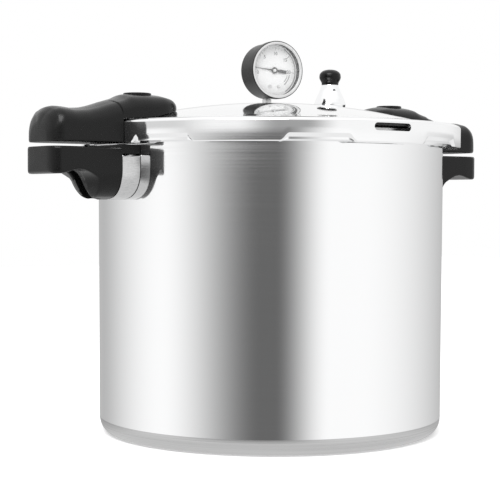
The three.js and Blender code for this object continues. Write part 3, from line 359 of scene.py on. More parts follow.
def turned(profile, segments=96):
    """A turned solid's points and faces. Its profile starts and ends on the axis, or is a closed ring."""
    points, rings = [], []
    for r, z in profile:
        if r < 1e-6:
            rings.append([len(points)])
            points.append((0, 0, z))
            continue
        rings.append(list(range(len(points), len(points) + segments)))
        for j in range(segments):
            a = 2 * math.pi * j / segments
            points.append((r * math.cos(a), r * math.sin(a), z))
    if len(rings[0]) > 1:
        rings.append(rings[0])
    faces = []
    for before, now in zip(rings, rings[1:]):
        for j in range(segments):
            k = (j + 1) % segments
            if len(before) == 1:
                faces.append((before[0], now[k], now[j]))
            elif len(now) == 1:
                faces.append((before[j], before[k], now[0]))
            else:
                faces.append((before[j], before[k], now[k], now[j]))
    return points, faces


def arc(cx, cz, rx, rz, start, end, steps):
    """Points along an ellipse's arc, in degrees."""
    found = []
    for i in range(steps + 1):
        a = math.radians(start + (end - start) * i / steps)
        found.append((cx + rx * math.cos(a), cz + rz * math.sin(a)))
    return found


def smooth_through(pairs, x):
    """The value at x on a curve through pairs that never overshoots them."""
    if x <= pairs[0][0]:
        return pairs[0][1]
    if x >= pairs[-1][0]:
        return pairs[-1][1]
    slopes = [(b[1] - a[1]) / (b[0] - a[0]) for a, b in zip(pairs, pairs[1:])]
    tangents = [slopes[0]]
    for left, right in zip(slopes, slopes[1:]):
        tangents.append(0.0 if left * right <= 0 else 2 * left * right / (left + right))
    tangents.append(slopes[-1])
    for i in range(len(slopes)):
        (x0, y0), (x1, y1) = pairs[i], pairs[i + 1]
        if x <= x1:
            h = x1 - x0
            t = (x - x0) / h
            return (
                (2 * t**3 - 3 * t**2 + 1) * y0
                + (t**3 - 2 * t**2 + t) * h * tangents[i]
                + (3 * t**2 - 2 * t**3) * y1
                + (t**3 - t**2) * h * tangents[i + 1]
            )
    return pairs[-1][1]


def lofted(rings):
    """Points and faces of a skin over equal rings, closed by a fan at each end."""
    count = len(rings[0])
    points = [p for ring in rings for p in ring]
    faces = grid_faces(len(rings), count)
    for index, ring in ((0, rings[0]), (len(rings) - 1, rings[-1])):
        centre = len(points)
        points.append(tuple(sum(p[i] for p in ring) / count for i in range(3)))
        base = index * count
        for j in range(count):
            k = (j + 1) % count
            faces.append((centre, base + k, base + j) if index == 0 else (centre, base + j, base + k))
    return points, faces


def frame_matrix(x_axis, y_axis, z_axis, place):
    """The matrix of a local frame, its place given in millimetres."""
    matrix = Matrix((x_axis, y_axis, z_axis)).transposed().to_4x4()
    matrix.translation = Vector(place) * MM
    return matrix


def moved(x, y, z):
    return Matrix.Translation(Vector((x, y, z)) * MM)


# ---------------------------------------------------------------- pot


def pot():
    """The pot's turned wall, floor and rim bead, and the lugs round it."""
    inside = RIM_RADIUS - POT_WALL
    flange_bottom = POT_TOP - FLANGE_HEIGHT
    floor_edge = BASE_RADIUS - POT_WALL - FLOOR_FILLET
    profile = [
        (0, 0),
        *arc(BASE_RADIUS - BASE_INSET, BASE_BAND, BASE_INSET, BASE_BAND, -90, 0, 16),
        (BASE_RADIUS + 0.4, BASE_BAND + 90),
        (BASE_RADIUS + 0.8, BASE_BAND + 180),
        (RIM_RADIUS, flange_bottom - 1.6),
        *arc(POT_FLANGE - 1.2, flange_bottom + 1.2, 1.2, 1.2, -60, 0, 5),
        *arc(POT_FLANGE - 1.6, POT_TOP - 1.6, 1.6, 1.6, 0, 90, 6),
        (inside, POT_TOP),
        *arc(floor_edge, POT_FLOOR + FLOOR_FILLET, FLOOR_FILLET, FLOOR_FILLET, 0, -90, 8),
        (0, POT_FLOOR),
    ]
    points, faces = turned(profile, 288)
    for i in range(LUGS):
        middle = 360 * i / LUGS
        ring_block(points, faces, POT_FLANGE - 2, POT_LUG, middle, POT_LUG_ANGLE, POT_LUG_LOW, POT_LUG_HIGH)
    return points, faces


def ring_block(points, faces, inner, outer, centre, angle, bottom, top, steps=16, edge=0.6):
    """Adds a bevelled block that follows part of a ring, centred on an angle in degrees from +X."""
    section = [
        (inner, bottom),
        (outer - edge, bottom),
        (outer, bottom + edge),
        (outer, top - edge),
        (outer - edge, top),
        (inner, top),
    ]
    start = len(points)
    for i in range(steps + 1):
        a = math.radians(centre - angle / 2 + angle * i / steps)
        points.extend((r * math.cos(a), r * math.sin(a), z) for r, z in section)
    faces.extend(face[::-1] for face in grid_faces(steps + 1, len(section), True, start))
    last = start + steps * len(section)
    faces.append(tuple(start + j for j in range(len(section))))
    faces.append(tuple(last + j for j in reversed(range(len(section)))))


pot_points, pot_faces = pot()
pot_piece = build("pot", pot_points, pot_faces, [polished, brushed, satin])
for polygon in pot_piece.data.polygons:
    centre = polygon.center / MM
    r = math.hypot(centre.x, centre.y)
    if centre.z < BASE_BAND and r > BASE_RADIUS - BASE_INSET - 1 and polygon.normal.xy.dot(centre.xy) > 0:
        polygon.material_index = 1
    elif r < RIM_RADIUS - POT_WALL + 0.05:
        polygon.material_index = 2
    elif centre.z > POT_TOP - FLANGE_HEIGHT:
        polygon.material_index = 1
on(pot_piece, "pot", "polished_aluminium", "pot_body")


# ---------------------------------------------------------------- cover


def scallop_share(angle):
    """How far the skirt's edge is raised at an angle: 0 along a lug, 1 between lugs."""
    pitch = 360 / LUGS
    away = abs((angle + pitch / 2) % pitch - pitch / 2)
    t = min(1.0, max(0.0, (away - COVER_LUG_ANGLE / 2 + 0.3) / 2.6))
    return t * t * (3 - 2 * t)


def window_half(angle):
    """Half height of the window at an angle, or None outside it."""
    away = abs((angle + 90 + 180) % 360 - 180)
    if away > WINDOW_HALF_ANGLE + 1e-6:
        return None
    end = math.degrees(WINDOW_HALF_HEIGHT / SKIRT)
    beyond = max(0.0, (away - (WINDOW_HALF_ANGLE - end)) / end)
    return max(0.25, WINDOW_HALF_HEIGHT * math.sqrt(max(0.0, 1 - beyond**2)))


def cover_angles():
    """Angles of the cover's columns, closer together at the steps of its edge and at the window's ends."""
    found = {round(1.5 * i, 3) for i in range(240)}
    for i in range(LUGS):
        for side in (-1, 1):
            for step in range(11):
                away = COVER_LUG_ANGLE / 2 - 0.3 + 0.26 * step
                found.add(round((360 / LUGS * i + side * away) % 360, 3))
    for side in (-1, 1):
        for step in range(9):
            away = WINDOW_HALF_ANGLE - 1.1 * (1 - math.cos(math.pi * step / 16))
            found.add(round(270 + side * away, 3))
    return sorted(found)


def cover_column(angle):
    """The cover's section at an angle, from the apex outside round to the apex inside."""
    share = scallop_share(angle)
    fillet = SKIRT_FILLET
    half = window_half(angle) or 0.25
    corner = cover_height(SKIRT - fillet) - fillet
    edge = SKIRT_BOTTOM + SCALLOP_RISE * share
    bevel_top = edge + 0.7 + 4.3 * share
    bevel_in = 0.7 + 1.8 * share
    bevel_low = edge + 0.15 + 1.9 * share  # below this, a scalloped part of the edge is upright again
    step = 0.7  # of the ledge above the top of the skirt's fillet
    outer = [(DOME_RADIUS * i / 22, cover_height(DOME_RADIUS * i / 22)) for i in range(1, 22)]
    outer += [
        (DOME_RADIUS - 2.2, cover_height(DOME_RADIUS - 2.2)),
        (DOME_RADIUS, cover_height(DOME_RADIUS) + 0.12),
        (DOME_RADIUS + 2.2, cover_height(DOME_RADIUS + 2.2)),
        (SKIRT - 18, cover_height(SKIRT - 18)),
        (SKIRT - fillet - 1.3, cover_height(SKIRT - fillet - 1.3)),
        (SKIRT - fillet - 1, cover_height(SKIRT - fillet)),
        (SKIRT - fillet - 1, cover_height(SKIRT - fillet) - step),
        *arc(SKIRT - fillet, corner - step, fillet, fillet, 86, 0, 9),
        (SKIRT, WINDOW_Z + half),
        (SKIRT, WINDOW_Z - half),
        (SKIRT, bevel_top + 0.6),
        (SKIRT - 0.12, bevel_top),
        (SKIRT - bevel_in * 0.5, bevel_low + 0.5 * (bevel_top - bevel_low)),
        (SKIRT - bevel_in, bevel_low),
        (SKIRT - bevel_in - 0.1, edge + 0.1),
        (SKIRT - bevel_in - 0.2, edge),
        (SKIRT_INSIDE, edge + 0.1),
    ]
    inner = [
        (SKIRT_INSIDE, WINDOW_Z - half),
        (SKIRT_INSIDE, WINDOW_Z + half),
        (SKIRT_INSIDE, cover_height(SKIRT_INSIDE) - COVER_WALL),
    ]
    dome_inside = [DOME_RADIUS * i / 12 for i in range(12, 0, -1)]
    inner += [(r, cover_height(r) - COVER_WALL) for r in dome_inside]
    return outer, inner


def cover():
    """The cover's shell with its scalloped skirt, its window and its bayonet lugs."""
    angles = cover_angles()
    sections = [cover_column(a) for a in angles]
    rows_out, rows_in = len(sections[0][0]), len(sections[0][1])
    rows = rows_out + rows_in
    columns = len(angles)
    points = []
    for row in range(rows):
        for a, (outer, inner) in zip(angles, sections):
            r, z = outer[row] if row < rows_out else inner[row - rows_out]
            points.append((r * math.cos(math.radians(a)), r * math.sin(math.radians(a)), z))
    window_top = rows_out - 9
    inside_low = rows_out
    faces = []
    for i in range(rows - 1):
        for j in range(columns):
            k = (j + 1) % columns
            open_here = window_half(angles[j]) is not None and window_half(angles[k]) is not None
            if open_here and i in (window_top, inside_low):
                continue
            faces.append((i * columns + j, (i + 1) * columns + j, (i + 1) * columns + k, i * columns + k))
    for j in range(columns):
        k = (j + 1) % columns
        here, there = window_half(angles[j]) is not None, window_half(angles[k]) is not None
        top_out, low_out = window_top * columns, (window_top + 1) * columns
        low_in, top_in = inside_low * columns, (inside_low + 1) * columns
        if here and there:
            faces.append((top_out + j, top_in + j, top_in + k, top_out + k))
            faces.append((low_out + k, low_in + k, low_in + j, low_out + j))
        elif here != there:
            end = j if here else k
            faces.append((top_out + end, low_out + end, low_in + end, top_in + end))
    for row, z, flip in ((0, APEX, False), (rows - 1, APEX - COVER_WALL, True)):
        centre = len(points)
        points.append((0, 0, z))
        for j in range(columns):
            a, b = row * columns + j, row * columns + (j + 1) % columns
            faces.append((centre, b, a) if flip else (centre, a, b))
    inner_end, outer_end = POT_FLANGE + COVER_LUG_GAP, SKIRT_INSIDE + 1
    lug_low, lug_high = SKIRT_BOTTOM + 0.1, SKIRT_BOTTOM + 2.5
    for i in range(LUGS):
        middle = 360 * i / LUGS
        ring_block(points, faces, inner_end, outer_end, middle, COVER_LUG_ANGLE - 1, lug_low, lug_high)
    return points, faces


cover_points, cover_faces = cover()
cover_piece = build("cover_shell", cover_points, cover_faces, polished, sharp=32)
on(cover_piece, "cover", "polished_aluminium", "cover")


# ---------------------------------------------------------------- handles


def handle_ring(x_at, half, bottom, top, low_radius, top_radius, crown):
    """A handle's rounded section. bottom may be a function of y; x_at gives the ring's x at each y."""
    floor = bottom if callable(bottom) else (lambda y: bottom)
    base = floor(half)
    room = max(0.4, top - base)
    rb = min(low_radius, half - 0.3, room * 0.2)
    rt = min(top_radius, half - 0.3, room * 0.7)
    ct = min(crown, room * 0.12)
    side = []
    for y, z in arc(half - rb, base + rb, rb, rb, -90, 0, 8):
        side.append((y, z + (floor(y) - base) * (1 - (z - base) / rb) if rb > 0 else z))
    side += arc(half - rt, top - ct - rt, rt, rt, 0, 84, 12)
    edge_y, edge_z = side[-1]
    for i in range(1, 7):
        y = edge_y * (1 - i / 7)
        side.append((y, edge_z + (top - edge_z) * (1 - (y / edge_y) ** 2)))
    ring = [(x_at(y), y, z) for y, z in side]
    ring.append((x_at(0), 0, top))
    ring += [(x, -y, z) for x, y, z in reversed(ring[:-1])]
    under = side[0][0]
    for i in range(1, 6):
        y = -under + 2 * under * i / 6
        ring.append((x_at(y), y, floor(y)))
    return ring


BACK_LINE = [  # cover handle: distance from the pot's axis, share of its full rise
    (COVER_HANDLE_TIP, 0.71),
    (COVER_HANDLE_TIP + 1.5, 0.8),
    (COVER_HANDLE_TIP + 4, 0.88),
    (COVER_HANDLE_TIP + 10, 0.95),
    (COVER_HANDLE_TIP + 20, 0.99),
    (COVER_HANDLE_TIP + 36, 1),
    (COVER_HANDLE_TIP + 50, 0.98),
    (REACH - 72, 0.905),
    (REACH - 58, 0.812),
    (REACH - 46, 0.728),
    (REACH - 36, 0.683),
    (REACH - 27, 0.672),
    (REACH - 19, 0.69),
    (REACH - 13, 0.697),
    (REACH - 7, 0.665),
    (REACH - 3, 0.58),
    (REACH - 1, 0.48),
    (REACH, 0.38),
]
SIDE_LINE = [  # the same, its half width
    (COVER_HANDLE_TIP, 0.22),
    (COVER_HANDLE_TIP + 1.5, 0.43),
    (COVER_HANDLE_TIP + 4, 0.6),
    (COVER_HANDLE_TIP + 10, 0.79),
    (COVER_HANDLE_TIP + 20, 0.94),
    (COVER_HANDLE_TIP + 36, 1),
    (REACH - 13, 1),
    (REACH - 7, 0.94),
    (REACH - 3, 0.82),
    (REACH - 1, 0.68),
    (REACH, 0.5),
]


def cover_handle(side):
    """A cover handle: it lies on the cover, and outside the skirt it runs down beside the edge."""
    touch = SKIRT + GAP
    stations = [COVER_HANDLE_TIP + 0.25 * i for i in range(8)]
    stations += [COVER_HANDLE_TIP + 2 + 2 * i for i in range(35)]
    stations = [s for s in stations if s < touch - 0.5] + [touch]
    outside = [touch + 0.15] + [touch + 2 + 2 * i for i in range(29)]
    outside = [s for s in outside if s < REACH - 3.5]
    outside += [REACH - back for back in (3, 2, 1, 0.4, 0)]
    rings = []
    for s, beyond in [(s, False) for s in stations] + [(s, True) for s in outside]:
        half = HALF_WIDTH * smooth_through(SIDE_LINE, s)
        top = COVER_HANDLE_BOTTOM + COVER_HANDLE_RISE * smooth_through(BACK_LINE, s)
        near = max(0.0, 1 - abs(s - touch) / 30)

        def x_at(y, s=s, near=near):
            return side * (s - near * (touch - math.sqrt(touch**2 - y**2)))

        def on_cover(y, x_at=x_at):
            return cover_height(math.hypot(x_at(y), y)) + GAP

        bottom = COVER_HANDLE_BOTTOM if beyond else on_cover
        if not beyond:
            top = max(top, on_cover(0) + 0.4)
        rings.append(handle_ring(x_at, half, bottom, top, 2.5 if beyond else 0.8, 15, 2.0))
    if side < 0:
        rings = [ring[::-1] for ring in rings]
    return lofted(rings)


BODY_DEPTH = [  # body handle: distance beyond its inner face, depth below its top
    (0, HANDLE_DEPTH),
    (12, HANDLE_DEPTH),
    (16, HANDLE_DEPTH - 0.9),
    (19, HANDLE_DEPTH - 2.8),
    (23, HANDLE_DEPTH - 7.5),
    (26.3, HANDLE_DEPTH - 13),
    (29, HANDLE_DEPTH - 18.5),
    (31.6, GRIP - 1),
    (35, GRIP - 3),
    (40, GRIP - 3.7),
    (45, GRIP - 3),
    (52, GRIP - 1),
    (58, GRIP),
    (61.5, GRIP - 0.2),
    (64.5, GRIP - 1.5),
    (REACH - BODY_HANDLE_INNER, GRIP - 5),
]
BODY_NARROWER = [  # distance beyond the inner face, what each side draws in
    (0, 0),
    (45, 0),
    (56, 0.5),
    (61.5, 3),
    (64.5, 7.5),
    (REACH - BODY_HANDLE_INNER, 13),
]
BODY_BULGE = [  # distance beyond the inner face, how far the leg's middle stands out past its sides
    (0, 0),
    (8, 0),
    (14, 3),
    (22, 9),
    (28, 9),
    (34, 4),
    (40, 0),
    (REACH - BODY_HANDLE_INNER, 0),
]
BOSS_RADIUS = 26.5  # of the body handle's round lower end
SCREW_SEAT = 8  # inner face to the start of the groove
GROOVE_HALF = 6


def body_handle_ring(side, x):
    """A body handle's section beyond its inner face: the bracket's U, cut off flat at the arch's height."""
    half = HALF_WIDTH - smooth_through(BODY_NARROWER, x)
    bulge = smooth_through(BODY_BULGE, x)
    top = BODY_HANDLE_TOP
    bottom = top - smooth_through(BODY_DEPTH, x)
    centre = top - HANDLE_DEPTH + BOSS_RADIUS
    edge = 2.2

    def half_at(z):
        if z >= centre:
            return half
        return half - BOSS_RADIUS + math.sqrt(max(0, BOSS_RADIUS**2 - (centre - z) ** 2))

    corner = half_at(bottom)
    flat = max(0.5, corner - edge)
    low_end = bottom + edge
    half_ring = []
    for i in range(7):
        t = i / 6
        y = (1 - t) ** 2 * flat + 2 * t * (1 - t) * corner + t * t * half_at(low_end)
        half_ring.append((y, bottom + t * t * edge))
    for i in range(1, 12):
        z = low_end + (top - edge - low_end) * (i / 12) ** 1.4
        half_ring.append((half_at(z), z))
    half_ring += arc(half - edge, top - edge, edge, edge, 0, 90, 6)
    ring = [(y, z) for y, z in half_ring]
    ring += [(y, top) for y in (half * 0.5, 0, -half * 0.5)]
    ring += [(-y, z) for y, z in reversed(half_ring)]
    ring += [(y, bottom) for y in (-flat * 0.5, 0, flat * 0.5)]

    def x_at(y, z):
        share = max(0, min(1, (top - GRIP + 4 - z) / 8))
        return side * (BODY_HANDLE_INNER + x - bulge * share * (y / HALF_WIDTH) ** 2)

    ring = [(x_at(y, z), y, z) for y, z in ring]
    return ring if side > 0 else ring[::-1]


def ledge(side):
    """The body handle's ledge over its bracket's top, from the pot to the handle."""
    width = HALF_WIDTH - 0.3
    top, bottom = BODY_HANDLE_TOP + LEDGE_RISE, BODY_HANDLE_TOP - LEDGE_DROP
    near = RIM_RADIUS + GAP
    steps = [width * (1 - i / 8) for i in range(17)]
    outline = [(y, top) for y in steps] + [(y, bottom) for y in reversed(steps)]
    rings = []
    for x_at in (lambda y: math.sqrt(near**2 - y**2), lambda y: BODY_HANDLE_INNER + 0.5):
        ring = [(side * x_at(y), y, z) for y, z in outline]
        rings.append(ring if side > 0 else ring[::-1])
    return lofted(rings)


def cut(obj, points, faces):
    """Cuts a closed shape out of an object, for good."""
    cutter = build("cutter", points, faces, [])
    modifier = obj.modifiers.new("cut", "BOOLEAN")
    modifier.object = cutter
    modifier.operation = "DIFFERENCE"
    modifier.solver = "EXACT"
    graph = bpy.context.evaluated_depsgraph_get()
    mesh = bpy.data.meshes.new_from_object(obj.evaluated_get(graph))
    obj.modifiers.remove(modifier)
    obj.data = mesh
    mesh.shade_smooth()
    mesh.set_sharp_from_angle(angle=math.radians(35))
    bpy.data.objects.remove(cutter)


def groove(side):
    """The slot up the middle of a body handle's underside."""
    start = BODY_HANDLE_INNER + SCREW_SEAT
    end = BODY_HANDLE_INNER + 45
    bottom = BODY_HANDLE_TOP - HANDLE_DEPTH - 3
    top = BODY_HANDLE_TOP - GRIP + 4
    outline = arc(0, 0, GROOVE_HALF, GROOVE_HALF, 90, 270, 10)
    rings = []
    for z in (bottom, top):
        ring = [(side * (start + GROOVE_HALF * 0.3 + x * 0.3), y, z) for x, y in outline]
        ring += [(side * (end + 4), -GROOVE_HALF, z), (side * (end + 4), GROOVE_HALF, z)]
        rings.append(ring if side > 0 else ring[::-1])
    return lofted(rings)


def body_handle(side):
    """A body handle under its cover handle, with a finger arch; the slot beneath is cut afterwards."""
    length = REACH - BODY_HANDLE_INNER
    stations = [0, 0.6] + [1.2 * i for i in range(1, 50)]
    stations += [60.4, 61.4, 62.4, 63.3, 64.2, 64.8, length]
    stations = [x for x in stations if x <= length]
    return lofted([body_handle_ring(side, x) for x in stations])


def bracket(side):
    """The U-shaped metal cup between the pot and a body handle."""
    bottom = BODY_HANDLE_TOP - HANDLE_DEPTH
    outer_end = BODY_HANDLE_INNER - GAP

    def outline(offset):
        half = HALF_WIDTH - offset
        top = BODY_HANDLE_TOP - LEDGE_DROP - GAP - offset
        round_part = half - 1.5
        low_z = bottom + offset
        edge = [(half - 2, top), (half - 0.6, top - 0.6), (half, top - 2)]
        curve = []
        for i in range(17):
            t = i / 16
            y = (1 - t) ** 2 * half + 2 * t * (1 - t) * half
            z = (1 - t) ** 2 * (low_z + round_part) + 2 * t * (1 - t) * low_z + t * t * low_z
            curve.append((y, z))
        right = edge + curve
        return right + [(-y, z) for y, z in reversed(right[:-1])]

    def ring(offset, x_at):
        points = [(side * x_at(y), y, z) for y, z in outline(offset)]
        return points if side < 0 else points[::-1]

    pot_side = RIM_RADIUS + GAP
    back = pot_side + 2.2
    rings = [
        ring(0, lambda y: math.sqrt(pot_side**2 - y**2)),
        ring(0, lambda y: outer_end - 0.5),
        ring(0.4, lambda y: outer_end),
        ring(2.2, lambda y: outer_end),
        ring(2.2, lambda y: math.sqrt(back**2 - y**2)),
    ]
    return lofted(rings)


for side, word in ((-1, "left"), (1, "right")):
    piece = build(f"cover_handle_{word}_moulded", *cover_handle(side), phenolic, sharp=50)
    on(piece, "cover", "phenolic", f"cover_handle_{word}")
    piece = build(f"body_handle_{word}_moulded", *body_handle(side), phenolic, sharp=50)
    cut(piece, *groove(side))
    on(piece, "pot", "phenolic", f"body_handle_{word}")
    piece = build(f"body_handle_ledge_{word}", *ledge(side), phenolic)
    on(piece, "pot", "phenolic")
    piece = build(f"bracket_{word}", *bracket(side), bracket_metal, sharp=40)
    on(piece, "pot", "polished_aluminium", f"handle_bracket_{word}")
    cap_bottom = low(f"cover_handle_cap_{word}").z
    cap_top = high(f"cover_handle_cap_{word}").z
    cap = [
        (0, cap_bottom),
        (CAP_RADIUS, cap_bottom),
        *arc(CAP_RADIUS - 1, cap_top - 1.2, 1, 0.8, 0, 90, 6),
        (CAP_RADIUS * 0.5, cap_top - 0.1),
        (0, cap_top),
    ]
    piece = build(f"handle_cap_{word}", *turned(cap), phenolic, moved(side * CAP_PLACE, 0, 0))
    on(piece, "cover", "phenolic", f"cover_handle_cap_{word}")


# ---------------------------------------------------------------- regulator


def regulator():
    """The weighted regulator's bell, with its bore; the small set screw is built apart."""
    bottom, top = low("regulator_body").z, high("regulator_body").z
    wide, neck, rise = 15, 8, top - bottom
    outside = [(wide * 0.97, 0.035), (wide, 0.12), (13.9, 0.3), (11.7, 0.55), (9.4, 0.8), (neck, 1)]
    by_height = [(share, r) for r, share in outside]
    bore, bore_top = 4.2, bottom + 15
    profile = [(0, bore_top), (bore, bore_top), (bore, bottom)]
    profile += [(wide - 3, bottom), (wide - 1.2, bottom + 0.25)]
    for i in range(25):
        share = 0.035 + 0.965 * i / 24
        profile.append((smooth_through(by_height, share), bottom + rise * share))
    return [*profile, (0, top)]


def knob():
    """The regulator's mushroom knob."""
    bottom, top = low("regulator_knob").z, high("regulator_knob").z
    h = top - bottom
    outline = [(0, 8), (0.1, 8.05), (0.2, 8.5), (0.34, 9.7), (0.5, 10.3)]
    outline += [(0.66, 10.1), (0.8, 9.0), (0.9, 7.2)]
    profile = [(0, bottom)]
    for i in range(19):
        share = 0.9 * i / 18
        profile.append((smooth_through(outline, share), bottom + h * share))
    return [*profile, (5.4, bottom + h * 0.955), (2.8, bottom + h * 0.99), (0, top)]


def round_bar(radius, bottom, top, edge=0.3):
    """A turned bar's profile with eased ends."""
    lower = [(0, bottom), (radius - edge, bottom), (radius, bottom + edge)]
    upper = [(radius, top - edge), (radius - edge, top), (0, top)]
    return lower + upper


bell = build("regulator_bell", *turned(regulator(), 96), chrome, moved(REGULATOR_X, 0, 0), sharp=40)
on(bell, "regulator", "chrome", "regulator_body")
mushroom = build("regulator_mushroom", *turned(knob(), 96), phenolic, moved(REGULATOR_X, 0, 0), sharp=40)
on(mushroom, "regulator", "phenolic", "regulator_knob")
screw_angle = math.radians(-90 - 14)
screw_z = low("regulator_body").z + 0.74 * (high("regulator_body").z - low("regulator_body").z)
screw_out = Vector((math.cos(screw_angle), math.sin(screw_angle), 0))
screw_side = Vector((-screw_out.y, screw_out.x, 0))
screw_matrix = frame_matrix(
    screw_side, Vector((0, 0, 1)), screw_side.cross(Vector((0, 0, 1))), (REGULATOR_X, 0, screw_z)
)
set_screw = build("regulator_set_screw", *turned(round_bar(1.4, 5, 10.0), 24), pointer_black, screw_matrix)
on(set_screw, "regulator", "pointer_black")


# ---------------------------------------------------------------- gauge

gauge_right = Vector((math.cos(GAUGE_TURN), math.sin(GAUGE_TURN), 0))
gauge_out = Vector((math.sin(GAUGE_TURN), -math.cos(GAUGE_TURN), 0))
GAUGE = frame_matrix(gauge_right, Vector((0, 0, 1)), gauge_out, (GAUGE_X, 0, GAUGE_Z))
CASE_BACK, CASE_FRONT = -4.8, 18.2
CASE_INSIDE = CASE_RADIUS - 1.2
DIAL_OUT = 12.6
DIAL_FRONT = DIAL_OUT + 0.8
CRYSTAL_BACK = CASE_FRONT + GAP
BEZEL_FRONT = CRYSTAL_BACK + 1 + GAP + 0.8

case = [
    (0, CASE_BACK),
    *arc(CASE_RADIUS - 2, CASE_BACK + 2, 2, 2, -90, 0, 8),
    (CASE_RADIUS, CASE_FRONT),
    (CASE_INSIDE, CASE_FRONT),
    (CASE_INSIDE, CASE_BACK + 1.2),
    (0, CASE_BACK + 1.2),
]
on(build("case_cup", *turned(case, 128), gauge_black, GAUGE), "cover", "gauge_black", "gauge_case")
bezel_outer = CASE_RADIUS + GAP + 0.8
bezel = [
    (CASE_RADIUS + GAP, CASE_FRONT - 4),
    (bezel_outer, CASE_FRONT - 4),
    *arc(bezel_outer - 0.5, BEZEL_FRONT - 0.5, 0.5, 0.5, 0, 90, 6),
    (bezel_outer - 0.8, BEZEL_FRONT),
    (CASE_RADIUS - 1.3, BEZEL_FRONT),
    (CASE_RADIUS - 2.1, BEZEL_FRONT - 0.6),
    (CASE_RADIUS - 2.1, BEZEL_FRONT - 0.8),
    (CASE_RADIUS + GAP, BEZEL_FRONT - 0.8),
]
bezel_ring = build("bezel_ring", *turned(bezel, 128), [gauge_black, bezel_lip])
for polygon in bezel_ring.data.polygons:
    if math.hypot(polygon.center.x, polygon.center.y) / MM < bezel_outer - 0.75 and polygon.normal.z > -0.5:
        polygon.material_index = 1
bezel_ring.data.transform(GAUGE)
on(bezel_ring, "cover", "gauge_black", "gauge_bezel")
crystal = round_bar(CASE_RADIUS - 0.1, CRYSTAL_BACK, CRYSTAL_BACK + 1, 0.15)
on(build("crystal_disc", *turned(crystal, 96), glass, GAUGE), "cover", "gauge_glass", "gauge_crystal")
dial = [(0, DIAL_OUT), (CASE_INSIDE - GAP, DIAL_OUT), (CASE_INSIDE - GAP, DIAL_FRONT), (0, DIAL_FRONT)]
on(build("dial_disc", *turned(dial, 96), dial_white, GAUGE), "cover", "dial_white", "gauge_dial")

ZERO_ANGLE = 174  # of the scale's zero, counterclockwise from three o'clock
SCALE_SWEEP = 178  # from the scale's zero to its last figure
LAST_FIGURE = 20


def band(points, faces, inner, outer, start, end, out, steps):
    """Adds a thin raised arc to the dial's printing, in degrees."""
    first = len(points)
    thick = 0.04
    for i in range(steps + 1):
        a = math.radians(start + (end - start) * i / steps)
        for r, z in ((inner, out), (outer, out), (outer, out + thick), (inner, out + thick)):
            points.append((r * math.cos(a), r * math.sin(a), z))
    faces.extend(tuple(reversed(f)) for f in grid_faces(steps + 1, 4, True, first))
    last = first + steps * 4
    faces.append((first, first + 1, first + 2, first + 3))
    faces.append((last + 3, last + 2, last + 1, last))


def scale_marks():
    """The ticks of the dial's scale."""
    points, faces = [], []
    out = DIAL_FRONT + 0.02
    for i in range(LAST_FIGURE + 1):
        middle = ZERO_ANGLE - SCALE_SWEEP * i / LAST_FIGURE
        long = i % 5 == 0
        inner = 18.2 if long else 19.8
        width = 1.0 if long else 0.5
        band(points, faces, inner, 21.4, middle - width / 2, middle + width / 2, out, 1)
    return points, faces


def zone_marks():
    """The grey band past the working range, and the shaded zone inside it."""
    points, faces = [], []
    out = DIAL_FRONT + 0.02
    band(points, faces, 21.8, 22.9, -58, 62, out, 60)
    band(points, faces, 16.2, 17.2, -50, -12, out, 24)
    band(points, faces, 14.2, 15.0, -44, -16, out, 24)
    return points, faces


def figures():
    """The scale's numbers as flat meshes on the dial."""
    found = []
    for value in range(0, LAST_FIGURE + 1, 5):
        angle = math.radians(ZERO_ANGLE - SCALE_SWEEP * value / LAST_FIGURE)
        text = bpy.data.curves.new("figure", "FONT")
        text.body = str(value)
        text.size = 4.4
        text.align_x = "CENTER"
        text.align_y = "CENTER"
        text.extrude = 0.02
        text.offset = 0.05
        holder = bpy.data.objects.new("figure", text)
        scene.collection.objects.link(holder)
        bpy.context.view_layer.update()
        graph = bpy.context.evaluated_depsgraph_get()
        mesh = bpy.data.meshes.new_from_object(holder.evaluated_get(graph))
        bpy.data.objects.remove(holder)
        shift = (15.4 * math.cos(angle), 15.4 * math.sin(angle), DIAL_FRONT + 0.04)
        if value == 0:
            shift = (-17.0, -2.4, DIAL_FRONT + 0.04)
        mesh.transform(Matrix.Scale(MM, 4) @ Matrix.Translation(shift))
        found.append(mesh)
    return found


marks = build("dial_scale", *scale_marks(), print_black, GAUGE)
on(marks, "cover", "pointer_black")
zones = build("dial_zones", *zone_marks(), print_grey, GAUGE)
on(zones, "cover", "pointer_black")
for number, mesh in enumerate(figures()):
    mesh.transform(GAUGE)
    mesh.materials.clear()
    mesh.materials.append(print_black)
    figure = bpy.data.objects.new(f"dial_figure_{number}", mesh)
    scene.collection.objects.link(figure)
    on(figure, "cover", "pointer_black")

seat = DIAL_FRONT + GAP
head = [(0, 9.2), (0.7, 9.2), (0.7, seat), (1.5, seat), (1.5, DIAL_FRONT + 0.7), (0, DIAL_FRONT + 1)]
for number, x in ((1, -4.5), (2, 4.5)):
    piece = build(f"dial_rivet_{number}", *turned(head, 32), steel, GAUGE @ moved(x, -14.8, 0))
    on(piece, "cover", "steel", f"dial_screw_{number}")


def pointer():
    """The pointer's tapered blade and its broad tail; the ring hub is built apart."""
    back, front = 14.2, 14.65
    outline = [(20.5, 0.12), (8, 0.4), (2, 0.62), (-4.9, 0.62), (-6, 1.5), (-12.5, 1.5)]
    outline += [(x, -y) for x, y in reversed(outline)]
    lower = [(x, y, back) for x, y in outline]
    upper = [(x, y, front) for x, y in outline]
    return lofted([lower, upper])


